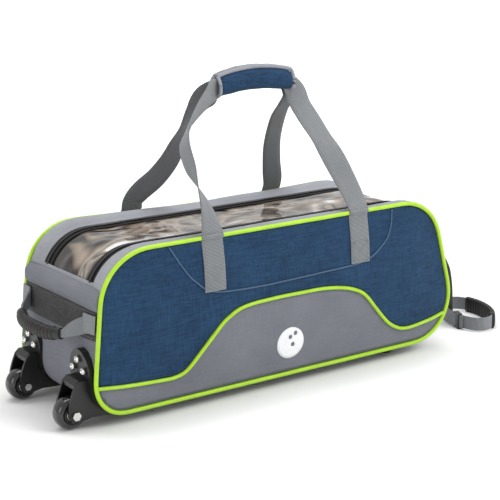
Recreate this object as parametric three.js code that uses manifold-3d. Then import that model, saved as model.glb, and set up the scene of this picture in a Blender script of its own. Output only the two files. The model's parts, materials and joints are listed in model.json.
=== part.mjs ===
// Rolling bowling bag for three balls: a long soft tote with two wheels at one end, a U-shaped zip lid
// with a clear window, webbing carry handles joined by a padded wrap, a rubber grab handle over the
// wheels and a pull strap with a rubber loop at the other end.
// Millimetres. +X runs from the wheel end to the strap end, -Y is the near side, +Z is up, and z = 0 is
// the underside of the base panel. The wheels and skid feet reach FLOOR_Z below it.
import * as THREE from 'three';
import Module from 'manifold-3d';
import { mergeVertices } from 'three/addons/utils/BufferGeometryUtils.js';

const wasm = await Module();
wasm.setup();

// ---- driving dimensions ----
const HALF_WIDTH = 120;
const FLOOR_Z = -20;
const GAP = 0.3;
const FABRIC = 3;
const SIDE_CORNERS = [
  { x: -361, z: 0, radius: 49 },
  { x: -335, z: 245, radius: 85 },
  { x: 294, z: 245, radius: 81 },
  { x: 355, z: 0, radius: 76 },
];
const ARC_STEPS = 8;
const PIPING = 6;
const GUSSET_HALF = HALF_WIDTH - FABRIC - GAP;
const STRIP_INNER = 80;
const ZIP_LINE = 68.5;
const WINDOW_HALF = 57;
const CREASE_X = 178;
const ZIP_END_Z = 126;
const BALL_RADIUS = 109;
const BALL_CENTRES_X = [-234, -18, 198];
const STRAP_WIDTH = 38;
const STRAP_THICKNESS = 2.2;
const TAB_CENTRES_X = { wheel: -149, front: 133 };
const WHEEL = { x: -381, y: 81, z: 5, radius: 25, halfWidth: 14 };
const HOUSING_HALF_WIDTH = 33;
const RIVET_RADIUS = 3;
const RIVETS = [{ dy: 0, z: 84 }, { dy: -16, z: 69 }, { dy: 16, z: 69 }];
const BRACKET = { shell: 4.5, thickensFrom: 40, top: 101, growth: 0.14 };
const GRIP = { x0: -55, x1: 83, zLow: 433, zHigh: 468, rise: 8, foldInset: 20 };
const STRAP_IN_WRAP = 27;
const LOOP = { x: 463, y: -33, z: -6, long: 72, short: 37, turn: Math.atan2(0.94, 0.35) };
const SIDES = { near: -1, far: 1 };

// ---- materials ----
const paint = (color, roughness, metalness = 0) => new THREE.MeshStandardMaterial({ color, roughness, metalness });
const BLUE = paint(0x2c4a6e, 0.8);
const GRAY = paint(0x7c7c84, 0.8);
const LIME = paint(0xb4e01c, 0.45);
const SEAM_BLUE = paint(0x5f7fa3, 0.5);
const BLACK_TAPE = paint(0x1a1a1c, 0.7);
const VINYL = paint(0xcfd3d6, 0.08);
const WEBBING = paint(0x9a9fa6, 0.75);
const DARK_WEBBING = paint(0x55565c, 0.75);
const MOULDED = paint(0x161617, 0.4);
const RUBBER = paint(0x1d1c1c, 0.6);
const STEEL = paint(0xc4c5c8, 0.3, 1);
const FOAM = paint(0x2a2b2f, 0.95);
const BOARD = paint(0x3a3a3c, 0.6);
const PRINT = paint(0xe9eaec, 0.5);

const group = new THREE.Group();

function add(name, geometry, material) {
  const mesh = new THREE.Mesh(geometry, material);
  mesh.name = name;
  group.add(mesh);
}

// ---- solids: three.js geometry in and out of manifold-3d ----
function toSolid(geometry) {
  const bare = geometry.clone();
  bare.deleteAttribute('normal');
  bare.deleteAttribute('uv');
  const merged = mergeVertices(bare, 1e-4);
  return new wasm.Manifold(new wasm.Mesh({
    numProp: 3,
    vertProperties: new Float32Array(merged.attributes.position.array),
    triVerts: new Uint32Array(merged.index.array),
  }));
}

function toGeometry(solid) {
  const mesh = solid.getMesh();
  const geometry = new THREE.BufferGeometry();
  geometry.setAttribute('position', new THREE.BufferAttribute(Float32Array.from(mesh.vertProperties), 3));
  geometry.setIndex(new THREE.BufferAttribute(Uint32Array.from(mesh.triVerts), 1));
  return geometry;
}

function union(geometries) {
  return geometries.map(toSolid).reduce((whole, next) => whole.add(next));
}

const X_AXIS = new THREE.Vector3(1, 0, 0);
const Y_AXIS = new THREE.Vector3(0, 1, 0);
const Z_AXIS = new THREE.Vector3(0, 0, 1);

function shapeOf(points, holes = []) {
  const shape = new THREE.Shape(points.map(([a, b]) => new THREE.Vector2(a, b)));
  shape.holes = holes.map((hole) => new THREE.Path(hole.map(([a, b]) => new THREE.Vector2(a, b))));
  return shape;
}

// A plate whose outline is drawn in X and Z, from y0 to y1.
function slab(points, y0, y1, holes) {
  const geometry = new THREE.ExtrudeGeometry(shapeOf(points, holes), { depth: y1 - y0, bevelEnabled: false });
  geometry.applyMatrix4(new THREE.Matrix4().makeBasis(X_AXIS, Z_AXIS, Y_AXIS.clone().negate()));
  return geometry.translate(0, y1, 0);
}

// A prism whose outline is drawn in Y and Z, from x0 to x1.
function prismX(points, x0, x1) {
  const geometry = new THREE.ExtrudeGeometry(shapeOf(points), { depth: x1 - x0, bevelEnabled: false });
  geometry.applyMatrix4(new THREE.Matrix4().makeBasis(Y_AXIS, Z_AXIS, X_AXIS));
  return geometry.translate(x0, 0, 0);
}

function circlePoints(a, b, radius, count) {
  return Array.from({ length: count }, (_, i) => {
    const angle = (2 * Math.PI * i) / count;
    return [a + radius * Math.cos(angle), b + radius * Math.sin(angle)];
  });
}

function rod(radius, y0, y1, x, z, sides = 24) {
  return slab(circlePoints(x, z, radius, sides), y0, y1);
}

function tube(points, radius, steps, sides = 6) {
  const path = new THREE.CatmullRomCurve3(points.map((p) => new THREE.Vector3(...p)));
  const section = shapeOf(circlePoints(0, 0, radius, sides));
  return new THREE.ExtrudeGeometry(section, { steps, extrudePath: path, bevelEnabled: false });
}

// Flat webbing bent along a curve. Each station is a centre, the direction of the width, and optionally
// a width and a thickness. More than one column keeps the faces parallel where the webbing twists.
function ribbon(stations, width, thickness, steps, columns = 1) {
  const centres = new THREE.CatmullRomCurve3(stations.map((s) => new THREE.Vector3(...s.at)));
  const across = new THREE.CatmullRomCurve3(stations.map((s) => new THREE.Vector3(...s.across)));
  const section = new THREE.CatmullRomCurve3(
    stations.map((s) => new THREE.Vector3(s.width ?? width, s.thickness ?? thickness, 0)),
  );
  const geometry = new THREE.BoxGeometry(1, 1, 1, columns, 1, steps);
  const position = geometry.attributes.position;
  for (let i = 0; i < position.count; i += 1) {
    const t = Math.min(1, Math.max(0, position.getZ(i) + 0.5));
    const along = centres.getTangent(t);
    const normal = new THREE.Vector3().crossVectors(along, across.getPoint(t)).normalize();
    const side = new THREE.Vector3().crossVectors(normal, along).normalize();
    const size = section.getPoint(t);
    const point = centres.getPoint(t)
      .addScaledVector(side, position.getX(i) * size.x)
      .addScaledVector(normal, position.getY(i) * size.y);
    position.setXYZ(i, point.x, point.y, point.z);
  }
  return geometry;
}

// ---- the bag's side outline, walked clockwise from the middle of the base ----
function cornerArc(index) {
  const corner = SIDE_CORNERS[index];
  const count = SIDE_CORNERS.length;
  const toward = (other) => new THREE.Vector2(other.x - corner.x, other.z - corner.z).normalize();
  const before = toward(SIDE_CORNERS[(index + count - 1) % count]);
  const after = toward(SIDE_CORNERS[(index + 1) % count]);
  const half = Math.acos(before.dot(after)) / 2;
  const middle = before.clone().add(after).normalize().multiplyScalar(corner.radius / Math.sin(half));
  const centre = new THREE.Vector2(corner.x, corner.z).add(middle);
  const middleAngle = Math.atan2(-middle.y, -middle.x);
  const sweep = Math.PI - 2 * half;
  return Array.from({ length: ARC_STEPS + 1 }, (_, i) => {
    const angle = middleAngle + sweep * (0.5 - i / ARC_STEPS);
    const normal = new THREE.Vector2(Math.cos(angle), Math.sin(angle));
    return { point: centre.clone().addScaledVector(normal, corner.radius), normal };
  });
}

const DOWN = new THREE.Vector2(0, -1);
const STATIONS = [
  { point: new THREE.Vector2(0, 0), normal: DOWN },
  ...SIDE_CORNERS.flatMap((_, i) => cornerArc(i)),
  { point: new THREE.Vector2(0, 0), normal: DOWN },
];
let walked = 0;
STATIONS.forEach((station, i) => {
  walked += i ? station.point.distanceTo(STATIONS[i - 1].point) : 0;
  station.s = walked;
});

function stationAt(s) {
  const next = Math.max(1, STATIONS.findIndex((station) => station.s >= s));
  const [a, b] = [STATIONS[next - 1], STATIONS[next]];
  const share = (s - a.s) / (b.s - a.s);
  return { s, point: a.point.clone().lerp(b.point, share), normal: a.normal.clone().lerp(b.normal, share).normalize() };
}

// Distance along the outline where coordinate ('x' or 'y' of the flat outline) first passes a value.
function crossing(coordinate, value, from, to) {
  for (let i = 1; i < STATIONS.length; i += 1) {
    const [a, b] = [STATIONS[i - 1], STATIONS[i]];
    const [p, q] = [a.point[coordinate] - value, b.point[coordinate] - value];
    if (b.s > from && a.s < to && p * q <= 0 && p !== q) return a.s + (b.s - a.s) * (p / (p - q));
  }
  throw new Error(`the outline does not reach ${value}`);
}

const BEFORE_TOP = STATIONS[ARC_STEPS + 2].s;
const AFTER_TOP = STATIONS[3 * (ARC_STEPS + 1)].s;
const TOP_MIDDLE = crossing('x', 0, BEFORE_TOP, AFTER_TOP);
const wheelEndAt = (z) => crossing('y', z, 1, TOP_MIDDLE);
const strapEndAt = (z) => crossing('y', z, TOP_MIDDLE, STATIONS.at(-1).s);
const topAt = (x) => crossing('x', x, BEFORE_TOP, AFTER_TOP);
const baseAtWheels = (x) => crossing('x', x, 0, BEFORE_TOP);

function offsetPoint(station, outset) {
  const point = station.point.clone().addScaledVector(station.normal, outset);
  return [point.x, point.y];
}

function outline(outset) {
  return STATIONS.slice(1, -1).map((station) => offsetPoint(station, outset));
}

// A strip of fabric that follows the outline from s0 to s1, between two offsets and two widths.
function strip(s0, s1, inner, outer, y0, y1) {
  const run = [stationAt(s0), ...STATIONS.filter((station) => station.s > s0 + 0.5 && station.s < s1 - 0.5), stationAt(s1)];
  const outside = run.map((station) => offsetPoint(station, outer));
  const inside = run.map((station) => offsetPoint(station, inner)).reverse();
  return slab([...outside, ...inside], y0, y1);
}

// ---- side panels, piping and trim ----
const ACCENT_LINE = new THREE.SplineCurve([
  [-347, 46], [-250, 39], [-203, 46], [-150, 98], [-95, 129], [22, 132], [86, 128], [140, 108],
  [188, 54], [235, 31], [314, 42],
].map(([x, z]) => new THREE.Vector2(x, z)));
const POCKET_LINE = [
  [-225, 238], [-187, 185], [-150, 161], [-71, 156], [54, 158], [140, 163], [186, 189], [203, 236],
];

function accentCut(shift) {
  const points = ACCENT_LINE.getPoints(40).map((p) => [p.x, p.y + shift]);
  const first = points[0];
  const last = points.at(-1);
  return [[-400, first[1]], ...points, [400, last[1]], [400, -50], [-400, -50]];
}

function sidePanels(side, sign) {
  const y0 = sign < 0 ? -HALF_WIDTH : HALF_WIDTH - FABRIC;
  const panel = toSolid(slab(outline(-PIPING / 2 - 0.4), y0, y0 + FABRIC));
  const below = (shift) => toSolid(slab(accentCut(shift), y0 - 1, y0 + FABRIC + 1));
  add(`side_panel_${side}_upper`, toGeometry(panel.subtract(below(GAP / 2))), BLUE);
  add(`side_panel_${side}_lower`, toGeometry(panel.intersect(below(-GAP / 2))), GRAY);
}

// A closed ring of piping round the side panel, with a chamfered outer edge.
function rimPiping(side, sign) {
  const bevel = PIPING / 4;
  const disc = new THREE.ExtrudeGeometry(shapeOf(outline(bevel)), {
    depth: 2 * bevel, bevelThickness: bevel, bevelSize: bevel, bevelSegments: 1,
  });
  disc.applyMatrix4(new THREE.Matrix4().makeBasis(X_AXIS, Z_AXIS, Y_AXIS.clone().negate()));
  disc.translate(0, sign * HALF_WIDTH + bevel, 0);
  const hole = slab(outline(-2 * bevel), sign * HALF_WIDTH - PIPING, sign * HALF_WIDTH + PIPING);
  add(`rim_piping_${side}`, toGeometry(toSolid(disc).subtract(toSolid(hole))), LIME);
}

function accentPiping(side, sign) {
  const radius = 2.6;
  const y = sign * (HALF_WIDTH + radius + 0.7);
  const points = ACCENT_LINE.getPoints(30).map((p) => [p.x, y, p.y]);
  add(`accent_piping_${side}`, tube(points, radius, 44), LIME);
}

function pocketPiping(side, sign) {
  const y = sign * (HALF_WIDTH + 1.8);
  add(`pocket_piping_${side}`, tube(POCKET_LINE.map(([x, z]) => [x, y, z]), 1.3, 30, 5), SEAM_BLUE);
}

function strapTab(side, sign, place) {
  const x = TAB_CENTRES_X[place];
  const y = sign * (HALF_WIDTH + 0.4 + STRAP_THICKNESS / 2);
  const half = STRAP_WIDTH / 2;
  const corners = [[x - half, 172], [x + half, 172], [x + half, 241.6], [x - half, 241.6]];
  add(`strap_tab_${side}_${place}`, slab(corners, y - STRAP_THICKNESS / 2, y + STRAP_THICKNESS / 2), WEBBING);
}

// A printed ball disc with three finger holes.
function emblem() {
  const holes = [[-9, 62], [1, 67], [-4, 49]].map(([x, z]) => circlePoints(x, z, 3.6, 14));
  add('ball_emblem', slab(circlePoints(-8, 52, 26, 40), -HALF_WIDTH - 1.2, -HALF_WIDTH - 0.4, holes), PRINT);
}

// ---- gusset: base, ends and top strips ----
const CORNER_START_X = -286;
const CORNER_END_X = 206;

function gusset(rivetHoles) {
  add('base_panel', slab(
    [[CORNER_START_X, 0], [CORNER_END_X, 0], [CORNER_END_X, FABRIC], [CORNER_START_X, FABRIC]],
    -GUSSET_HALF, GUSSET_HALF,
  ), GRAY);
  const wheelEnd = strip(baseAtWheels(CORNER_START_X - GAP), wheelEndAt(117), -FABRIC, 0, -GUSSET_HALF, GUSSET_HALF);
  add('wheel_end_panel', toGeometry(toSolid(wheelEnd).subtract(rivetHoles)), GRAY);
  add('wheel_end_band', strip(wheelEndAt(117.3), wheelEndAt(160), -FABRIC, 0.8, -GUSSET_HALF, GUSSET_HALF), DARK_WEBBING);
  add('wheel_end_roll', strip(wheelEndAt(160.3), wheelEndAt(185), -FABRIC, 2.8, -GUSSET_HALF, GUSSET_HALF), GRAY);
  const strapEndFoot = crossing('x', CORNER_END_X + GAP, strapEndAt(60), STATIONS.at(-1).s);
  add('strap_end_panel', strip(strapEndAt(112), strapEndFoot, -FABRIC, 0, -GUSSET_HALF, GUSSET_HALF), GRAY);
  for (const [side, sign] of Object.entries(SIDES)) {
    const edges = [sign * GUSSET_HALF, sign * STRIP_INNER].sort((a, b) => a - b);
    add(`gusset_strip_${side}`, strip(wheelEndAt(185.4), strapEndAt(112.4), -5, -3, ...edges), GRAY);
  }
}

// ---- zip, lid and window ----
function bothSides(s0, s1, inner, outer, y0, y1) {
  return [strip(s0, s1, inner, outer, y0, y1), strip(s0, s1, inner, outer, -y1, -y0)];
}

function zipAndLid() {
  const outerEdge = STRIP_INNER + 2;
  const gussetEdge = ZIP_LINE + GAP;
  const lidEdge = ZIP_LINE - GAP;
  const [inner, outer] = [-7.5, -6];
  const rearEnd = wheelEndAt(186);
  const rearRunEnd = wheelEndAt(197);
  const crease = topAt(CREASE_X);
  add('zip_tape_gusset', toGeometry(union([
    ...bothSides(rearEnd, strapEndAt(114), inner, outer, gussetEdge, outerEdge),
    strip(strapEndAt(ZIP_END_Z - 2 * GAP), strapEndAt(114), inner, outer, -outerEdge, outerEdge),
  ])), BLACK_TAPE);
  add('lid_frame_rear', toGeometry(union([
    ...bothSides(rearEnd, crease - GAP, inner, outer, WINDOW_HALF, lidEdge),
    strip(rearEnd, rearRunEnd, inner, outer, -lidEdge, lidEdge),
  ])), BLACK_TAPE);
  add('lid_frame_front', toGeometry(union([
    ...bothSides(crease + GAP, strapEndAt(ZIP_END_Z), inner, outer, WINDOW_HALF, lidEdge),
    strip(strapEndAt(ZIP_END_Z + 11), strapEndAt(ZIP_END_Z), inner, outer, -lidEdge, lidEdge),
  ])), BLACK_TAPE);
  add('window_rear', strip(rearEnd, crease - GAP, -9.4, -8.2, -WINDOW_HALF - 5, WINDOW_HALF + 5), VINYL);
  const frontEnd = strapEndAt(ZIP_END_Z + 5);
  add('window_front', strip(crease + GAP, frontEnd, -9.4, -8.2, -WINDOW_HALF - 5, WINDOW_HALF + 5), VINYL);
}

// Zip slider on the near run, where it passes down the strap end, and its pull tab.
const SLIDER_Z = 150;
function zipSlider() {
  const base = stationAt(strapEndAt(SLIDER_Z));
  const frame = new THREE.Matrix4().makeBasis(
    new THREE.Vector3(base.normal.x, 0, base.normal.y),
    Y_AXIS,
    new THREE.Vector3(-base.normal.y, 0, base.normal.x),
  ).setPosition(base.point.x, -ZIP_LINE, base.point.y);
  const body = union([
    new THREE.BoxGeometry(3.4, 12, 17).translate(-3.7, 0, 0),
    new THREE.BoxGeometry(5, 3, 3).translate(0, 0, 4),
  ]);
  add('zip_slider', toGeometry(body).applyMatrix4(frame), STEEL);
  const ring = new THREE.Shape([[-5, -1.2], [5, -1.2], [4, 34], [-4, 34]].map(([a, b]) => new THREE.Vector2(a, b)));
  ring.holes = [new THREE.Path(circlePoints(0, 29, 2.2, 12).map(([a, b]) => new THREE.Vector2(a, b)))];
  const tab = new THREE.ExtrudeGeometry(ring, { depth: 1.8, bevelEnabled: false });
  tab.applyMatrix4(new THREE.Matrix4().makeBasis(Y_AXIS, Z_AXIS.clone().negate(), X_AXIS.clone().negate()));
  add('zip_pull_tab', tab.translate(5.2, 0, 4).applyMatrix4(frame), MOULDED);
}

// ---- inside: board, ball cradle, side stiffeners ----
function inside() {
  add('base_board', slab([[-300, 3.4], [250, 3.4], [250, 7.4], [-300, 7.4]], -112, 112), BOARD);
  let cradle = toSolid(slab([[-318, 7.8], [279, 7.8], [308, 34], [-338, 34]], -112, 112));
  for (const x of BALL_CENTRES_X) {
    const ball = new THREE.SphereGeometry(BALL_RADIUS, 28, 18);
    ball.rotateX(Math.PI / 2).translate(x, 0, 9 + BALL_RADIUS);
    cradle = cradle.subtract(toSolid(ball));
  }
  add('ball_cradle', toGeometry(cradle), FOAM);
  for (const [side, sign] of Object.entries(SIDES)) {
    const edges = [sign * (GUSSET_HALF - 0.2), sign * (GUSSET_HALF - 3.4)].sort((a, b) => a - b);
    add(`side_stiffener_${side}`, slab(outline(-16), ...edges), FOAM);
  }
}

// ---- wheels, housings, axles and rivets ----
const CHEEK_OUTLINE = [
  [-340, 56], [-373, 56], [-380, 50], [-385, 39], [-389, 28], [-392, 16], [-392, 3], [-387, -5], [-371, -6],
  [-354, -3], [-330, -5], [-300, -3], [-300, 30],
];
const HOOD_OUTLINE = [[-340, 57], [-373, 57], [-380, 50], [-380, 44], [-340, 44]];

// The bracket thickens toward its top.
const bracketOutset = (z) => BRACKET.shell + Math.max(0, z - BRACKET.thickensFrom) * BRACKET.growth;

function housing(side, sign, rivetHoles) {
  const y = sign * WHEEL.y;
  const [innerFace, outerFace] = [17, 21];
  const arch = [[y - HOUSING_HALF_WIDTH, -40], [y + HOUSING_HALF_WIDTH, -40]];
  for (let i = 0; i <= 8; i += 1) {
    const angle = (Math.PI * i) / 8;
    arch.push([y + HOUSING_HALF_WIDTH * Math.cos(angle), 48 + 52 * Math.sin(angle) ** 0.8]);
  }
  const [low, high] = [BRACKET.thickensFrom, BRACKET.top].map((z) => stationAt(wheelEndAt(z)));
  const bag = toSolid(slab(outline(0.5), y - 60, y + 60));
  const wedge = toSolid(slab([
    offsetPoint(low, 0),
    offsetPoint(low, BRACKET.shell),
    offsetPoint(high, bracketOutset(BRACKET.top)),
    offsetPoint(high, 0),
  ], y - 34, y + 34)).subtract(bag);
  const wrap = toSolid(strip(baseAtWheels(-290), wheelEndAt(BRACKET.top), 0.5, BRACKET.shell, y - 34, y + 34))
    .add(wedge)
    .intersect(toSolid(prismX(arch, -400, -250)));
  const cheeks = [[-outerFace, -innerFace], [innerFace, outerFace]]
    .map(([a, b]) => toSolid(slab(CHEEK_OUTLINE, y + a, y + b)).subtract(bag));
  const hood = toSolid(slab(HOOD_OUTLINE, y - 18, y + 18)).subtract(bag);
  const axleHole = toSolid(rod(4.4, y - 40, y + 40, WHEEL.x, WHEEL.z));
  const solid = wrap.add(cheeks[0]).add(cheeks[1]).add(hood).subtract(axleHole).subtract(rivetHoles);
  add(`wheel_housing_${side}`, toGeometry(solid), MOULDED);
}

function lathed(profile, y, segments) {
  const geometry = new THREE.LatheGeometry(profile.map(([r, a]) => new THREE.Vector2(r, a)), segments);
  return geometry.translate(WHEEL.x, y, WHEEL.z);
}

function wheel(side, sign) {
  const y = sign * WHEEL.y;
  const half = WHEEL.halfWidth;
  const tread = WHEEL.radius;
  add(`tyre_${side}`, lathed([
    [15, -half + 1], [17, -half], [tread - 4, -half], [tread - 1, -half + 2.5], [tread, -half + 6],
    [tread, half - 6], [tread - 1, half - 2.5], [tread - 4, half], [17, half], [15, half - 1], [15, -half + 1],
  ], y, 32), RUBBER);
  add(`hub_${side}`, lathed([
    [4.5, -15.5], [8, -15.5], [8.4, -12.5], [14.6, -12.5], [14.6, 12.5], [8.4, 12.5], [8, 15.5], [4.5, 15.5],
    [4.5, -15.5],
  ], y, 24), MOULDED);
  const head = rod(7, y + sign * 21.4 - (sign < 0 ? 4 : 0), y + sign * 21.4 + (sign > 0 ? 4 : 0), WHEEL.x, WHEEL.z, 6);
  const nut = rod(6, y - sign * 21.4 - (sign > 0 ? 4 : 0), y - sign * 21.4 + (sign < 0 ? 4 : 0), WHEEL.x, WHEEL.z, 6);
  const shaft = rod(4, y - 22, y + 22, WHEEL.x, WHEEL.z);
  add(`axle_bolt_${side}`, toGeometry(union([shaft, head, nut])), STEEL);
}

function rivetRod(sign, rivet, radius, x0, x1, sides = 12) {
  return prismX(circlePoints(sign * WHEEL.y + rivet.dy, rivet.z, radius, sides), x0, x1);
}

function rivetHolesFor(sign) {
  return union(RIVETS.map((rivet) => rivetRod(sign, rivet, RIVET_RADIUS + 0.4, -400, -330)));
}

// Three rivets clench onto one backing plate inside the end panel.
function rivets(side, sign) {
  const y = sign * WHEEL.y;
  const plate = strip(wheelEndAt(56), wheelEndAt(94), -FABRIC - 2, -FABRIC - GAP, y - 26, y + 26);
  const skinAt = (z) => stationAt(wheelEndAt(z)).point.x;
  const headAt = (z) => skinAt(z) - bracketOutset(z);
  const pins = RIVETS.map((rivet) => rivetRod(sign, rivet, RIVET_RADIUS, headAt(rivet.z) - 2, skinAt(rivet.z) + 4.5));
  const heads = RIVETS.map((rivet) => rivetRod(sign, rivet, 5.5, headAt(rivet.z) - 3, headAt(rivet.z) - 1.2, 16));
  add(`rivet_set_${side}`, toGeometry(union([plate, ...pins, ...heads])), STEEL);
}

function skidFoot(side, sign) {
  const foot = new THREE.LatheGeometry([[0, FLOOR_Z], [11, FLOOR_Z], [14, FLOOR_Z + 3], [16, -GAP], [0, -GAP]]
    .map(([r, z]) => new THREE.Vector2(r, z)), 24);
  foot.rotateX(Math.PI / 2).translate(225, sign * 80, 0);
  add(`skid_foot_${side}`, foot, RUBBER);
}

// ---- carry handles and the padded wrap that joins them ----
const riseAt = (x) => {
  const middle = (GRIP.x0 + GRIP.x1) / 2;
  return GRIP.rise * (1 - ((x - middle) / ((GRIP.x1 - GRIP.x0) / 2)) ** 2);
};

// Each leg is listed from its tab up to the wrap: centre, then the direction of the width.
const STRAP_LEGS = {
  near: {
    wheel: [
      [-149, -119, 252, 1, 0, 0], [-152, -113, 285, 0.85, 0.5, 0], [-160, -104, 317, 0.5, 0.86, 0],
      [-166, -92, 348, 0.1, 0.97, -0.2], [-166, -76, 381, 0.1, 0.9, -0.4], [-150, -60, 403, 0.2, 0.75, -0.6],
      [-122, -42, 422, 0.1, 0.5, -0.85], [-92, -24, 438, 0, 0.25, -0.97], [-70, -9, 448, 0, 0, -1],
    ],
    front: [
      [133, -119, 252, -1, 0, 0], [132, -112, 266, -1, 0, -0.1], [123, -99, 297, -0.95, 0.1, -0.3],
      [113, -83, 332, -0.95, 0.2, -0.3], [105, -60, 362, -0.95, -0.1, -0.3], [99, -36, 390, -0.95, 0, -0.3],
      [95, -15, 414, -0.95, 0, -0.3], [92, -6, 433, -0.8, 0, -0.6],
    ],
  },
  far: {
    wheel: [
      [-149, 118, 253, 1, 0, 0], [-149, 115, 266, 1, 0, 0], [-138, 109, 284, 0.9, 0, -0.3],
      [-115, 99, 304, 0.85, 0, -0.5],
      [-96, 86, 326, 0.95, 0, -0.3], [-88, 71, 356, 0.9, 0.3, -0.3], [-80, 55, 388, 0.75, 0.6, -0.3],
      [-75, 30, 417, 0.7, 0.4, -0.6], [-69, 8, 440, 0.4, 0, -0.9],
    ],
    front: [
      [132, 118, 253, -1, 0, 0], [132, 115, 266, -1, 0, 0], [122, 103, 295, -1, 0, -0.2],
      [107, 80, 340, -0.95, 0, -0.3],
      [98, 48, 388, -0.95, 0, -0.3], [94, 20, 414, -0.95, 0, -0.3], [92, 5.5, 434, -0.8, 0, -0.6],
    ],
  },
};

function carryStrap(side, sign) {
  const leg = ([x, y, z, ...across]) => ({ at: [x, y, z], across });
  const inWrap = (x) => ({ at: [x, sign * 5, 450 + riseAt(x)], across: [0, 0, -1], width: STRAP_IN_WRAP });
  const stations = [
    ...STRAP_LEGS[side].wheel.map(leg),
    ...[-50, -12, 26, 60, 78].map(inWrap),
    ...STRAP_LEGS[side].front.map(leg).reverse(),
  ];
  add(`carry_strap_${side}`, ribbon(stations, STRAP_WIDTH, STRAP_THICKNESS, 130, 3), WEBBING);
}

function crownedPlate(zLow, zHigh, y0, y1, inset = 0) {
  const steps = 8;
  const [x0, x1] = [GRIP.x0 + inset, GRIP.x1 - inset];
  const xs = Array.from({ length: steps + 1 }, (_, i) => x0 + ((x1 - x0) * i) / steps);
  const lower = xs.map((x) => [x, zLow + riseAt(x)]);
  const upper = xs.map((x) => [x, zHigh + riseAt(x)]).reverse();
  return slab([...lower, ...upper], y0, y1);
}

function gripWrap() {
  const [inside, outside] = [9, 15];
  const far = crownedPlate(GRIP.zLow, GRIP.zHigh, inside, outside);
  const fold = crownedPlate(GRIP.zLow, GRIP.zLow + 3, -inside + GAP, inside + 1, GRIP.foldInset);
  add('grip_wrap', toGeometry(union([far, fold])), BLUE);
  add('grip_flap', crownedPlate(GRIP.zLow, GRIP.zHigh, -outside, -inside), BLUE);
}

// ---- grab handle over the wheels ----
const GRAB_CURVE = [
  [-360, -86, 136], [-368, -80, 131], [-380, -68, 123], [-391, -38, 120], [-395, 0, 121],
  [-391, 38, 120], [-380, 68, 123], [-368, 80, 131], [-360, 86, 136],
];

function grabHandle() {
  const stations = GRAB_CURVE.map((at, i) => {
    const fromEnd = Math.min(i, GRAB_CURVE.length - 1 - i);
    return { at, across: [0, 0, 1], width: fromEnd === 0 ? 25 : 9, thickness: fromEnd === 0 ? 2.2 : 5 };
  });
  add('grab_webbing', ribbon(stations, 9, 5, 32), WEBBING);
  const path = new THREE.CatmullRomCurve3(GRAB_CURVE.map((p) => new THREE.Vector3(...p)));
  const middle = new THREE.CatmullRomCurve3(
    Array.from({ length: 9 }, (_, i) => path.getPoint(0.25 + (0.5 * i) / 8)),
  );
  const section = shapeOf(circlePoints(0, 0, 8.5, 14), [circlePoints(0, 0, 6.4, 12)]);
  add('grab_grip', new THREE.ExtrudeGeometry(section, { steps: 16, extrudePath: middle, bevelEnabled: false }), RUBBER);
  for (const [side, sign] of Object.entries(SIDES)) {
    const edges = [sign * 88, sign * (GUSSET_HALF - GAP)].sort((a, b) => a - b);
    add(`grab_loop_${side}`, strip(wheelEndAt(124), wheelEndAt(156), 1.2, 3.6, ...edges), WEBBING);
  }
}

// ---- pull strap with its rubber loop ----
function pullStrap() {
  add('pull_anchor_patch', strip(strapEndAt(110), strapEndAt(78), 0.4, 2.4, -22, 22), BLACK_TAPE);
  const across = [0, 1, 0];
  const stations = [
    [343, 0, 112], [376, -1, 124], [412, -2, 112], [434, -3, 76], [440, -3, 40], [438, -4, 8.5],
  ].map((at) => ({ at, across }));
  add('pull_webbing', ribbon(stations, 25, STRAP_THICKNESS, 24), DARK_WEBBING);
}

function loopRing(grow, z0, z1) {
  const ellipse = (offset) => Array.from({ length: 40 }, (_, i) => {
    const angle = (2 * Math.PI * i) / 40;
    return [(LOOP.long + offset) * Math.cos(angle), (LOOP.short + offset) * Math.sin(angle)];
  });
  const ring = shapeOf(ellipse(grow), [ellipse(-grow)]);
  return new THREE.ExtrudeGeometry(ring, { depth: z1 - z0, bevelEnabled: false }).translate(0, 0, z0);
}

function placeLoop(geometry) {
  return geometry.rotateZ(LOOP.turn).translate(LOOP.x, LOOP.y, LOOP.z);
}

function pullLoop() {
  const half = 12;
  add('loop_webbing', placeLoop(loopRing(1.1, -half, half)), WEBBING);
  const slot = toSolid(loopRing(1.5, -half - 0.4, half + 0.4));
  const sleeve = toSolid(loopRing(5, -half - 1.5, half + 1.5)).subtract(slot);
  const outerArc = toSolid(new THREE.BoxGeometry(112, 60, 60).translate(2, -44, 0));
  add('loop_grip', placeLoop(toGeometry(sleeve.intersect(outerArc))), RUBBER);
  const plate = toSolid(new THREE.BoxGeometry(20, 9, 2 * half + 4).translate(-34, LOOP.short - 4, 0));
  add('tri_glide', placeLoop(toGeometry(plate.subtract(slot))), MOULDED);
}

// ---- build ----
const rivetHoles = { near: rivetHolesFor(-1), far: rivetHolesFor(1) };
gusset(rivetHoles.near.add(rivetHoles.far));
zipAndLid();
zipSlider();
inside();
emblem();
for (const [side, sign] of Object.entries(SIDES)) {
  sidePanels(side, sign);
  rimPiping(side, sign);
  accentPiping(side, sign);
  pocketPiping(side, sign);
  strapTab(side, sign, 'wheel');
  strapTab(side, sign, 'front');
  housing(side, sign, rivetHoles[side]);
  wheel(side, sign);
  rivets(side, sign);
  skidFoot(side, sign);
  carryStrap(side, sign);
}
gripWrap();
grabHandle();
pullStrap();
pullLoop();

export default group;
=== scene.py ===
"""Looks of the rolling bowling bag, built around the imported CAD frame.

Metres, +X towards the pull-strap end, -Y the near side with the emblem, +Z up. z = 0 is the underside
of the base panel and the floor is at the bottom of the wheels.
"""

import json
import math

import bmesh
import bpy
import numpy as np
from mathutils import Matrix, Vector, noise

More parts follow.
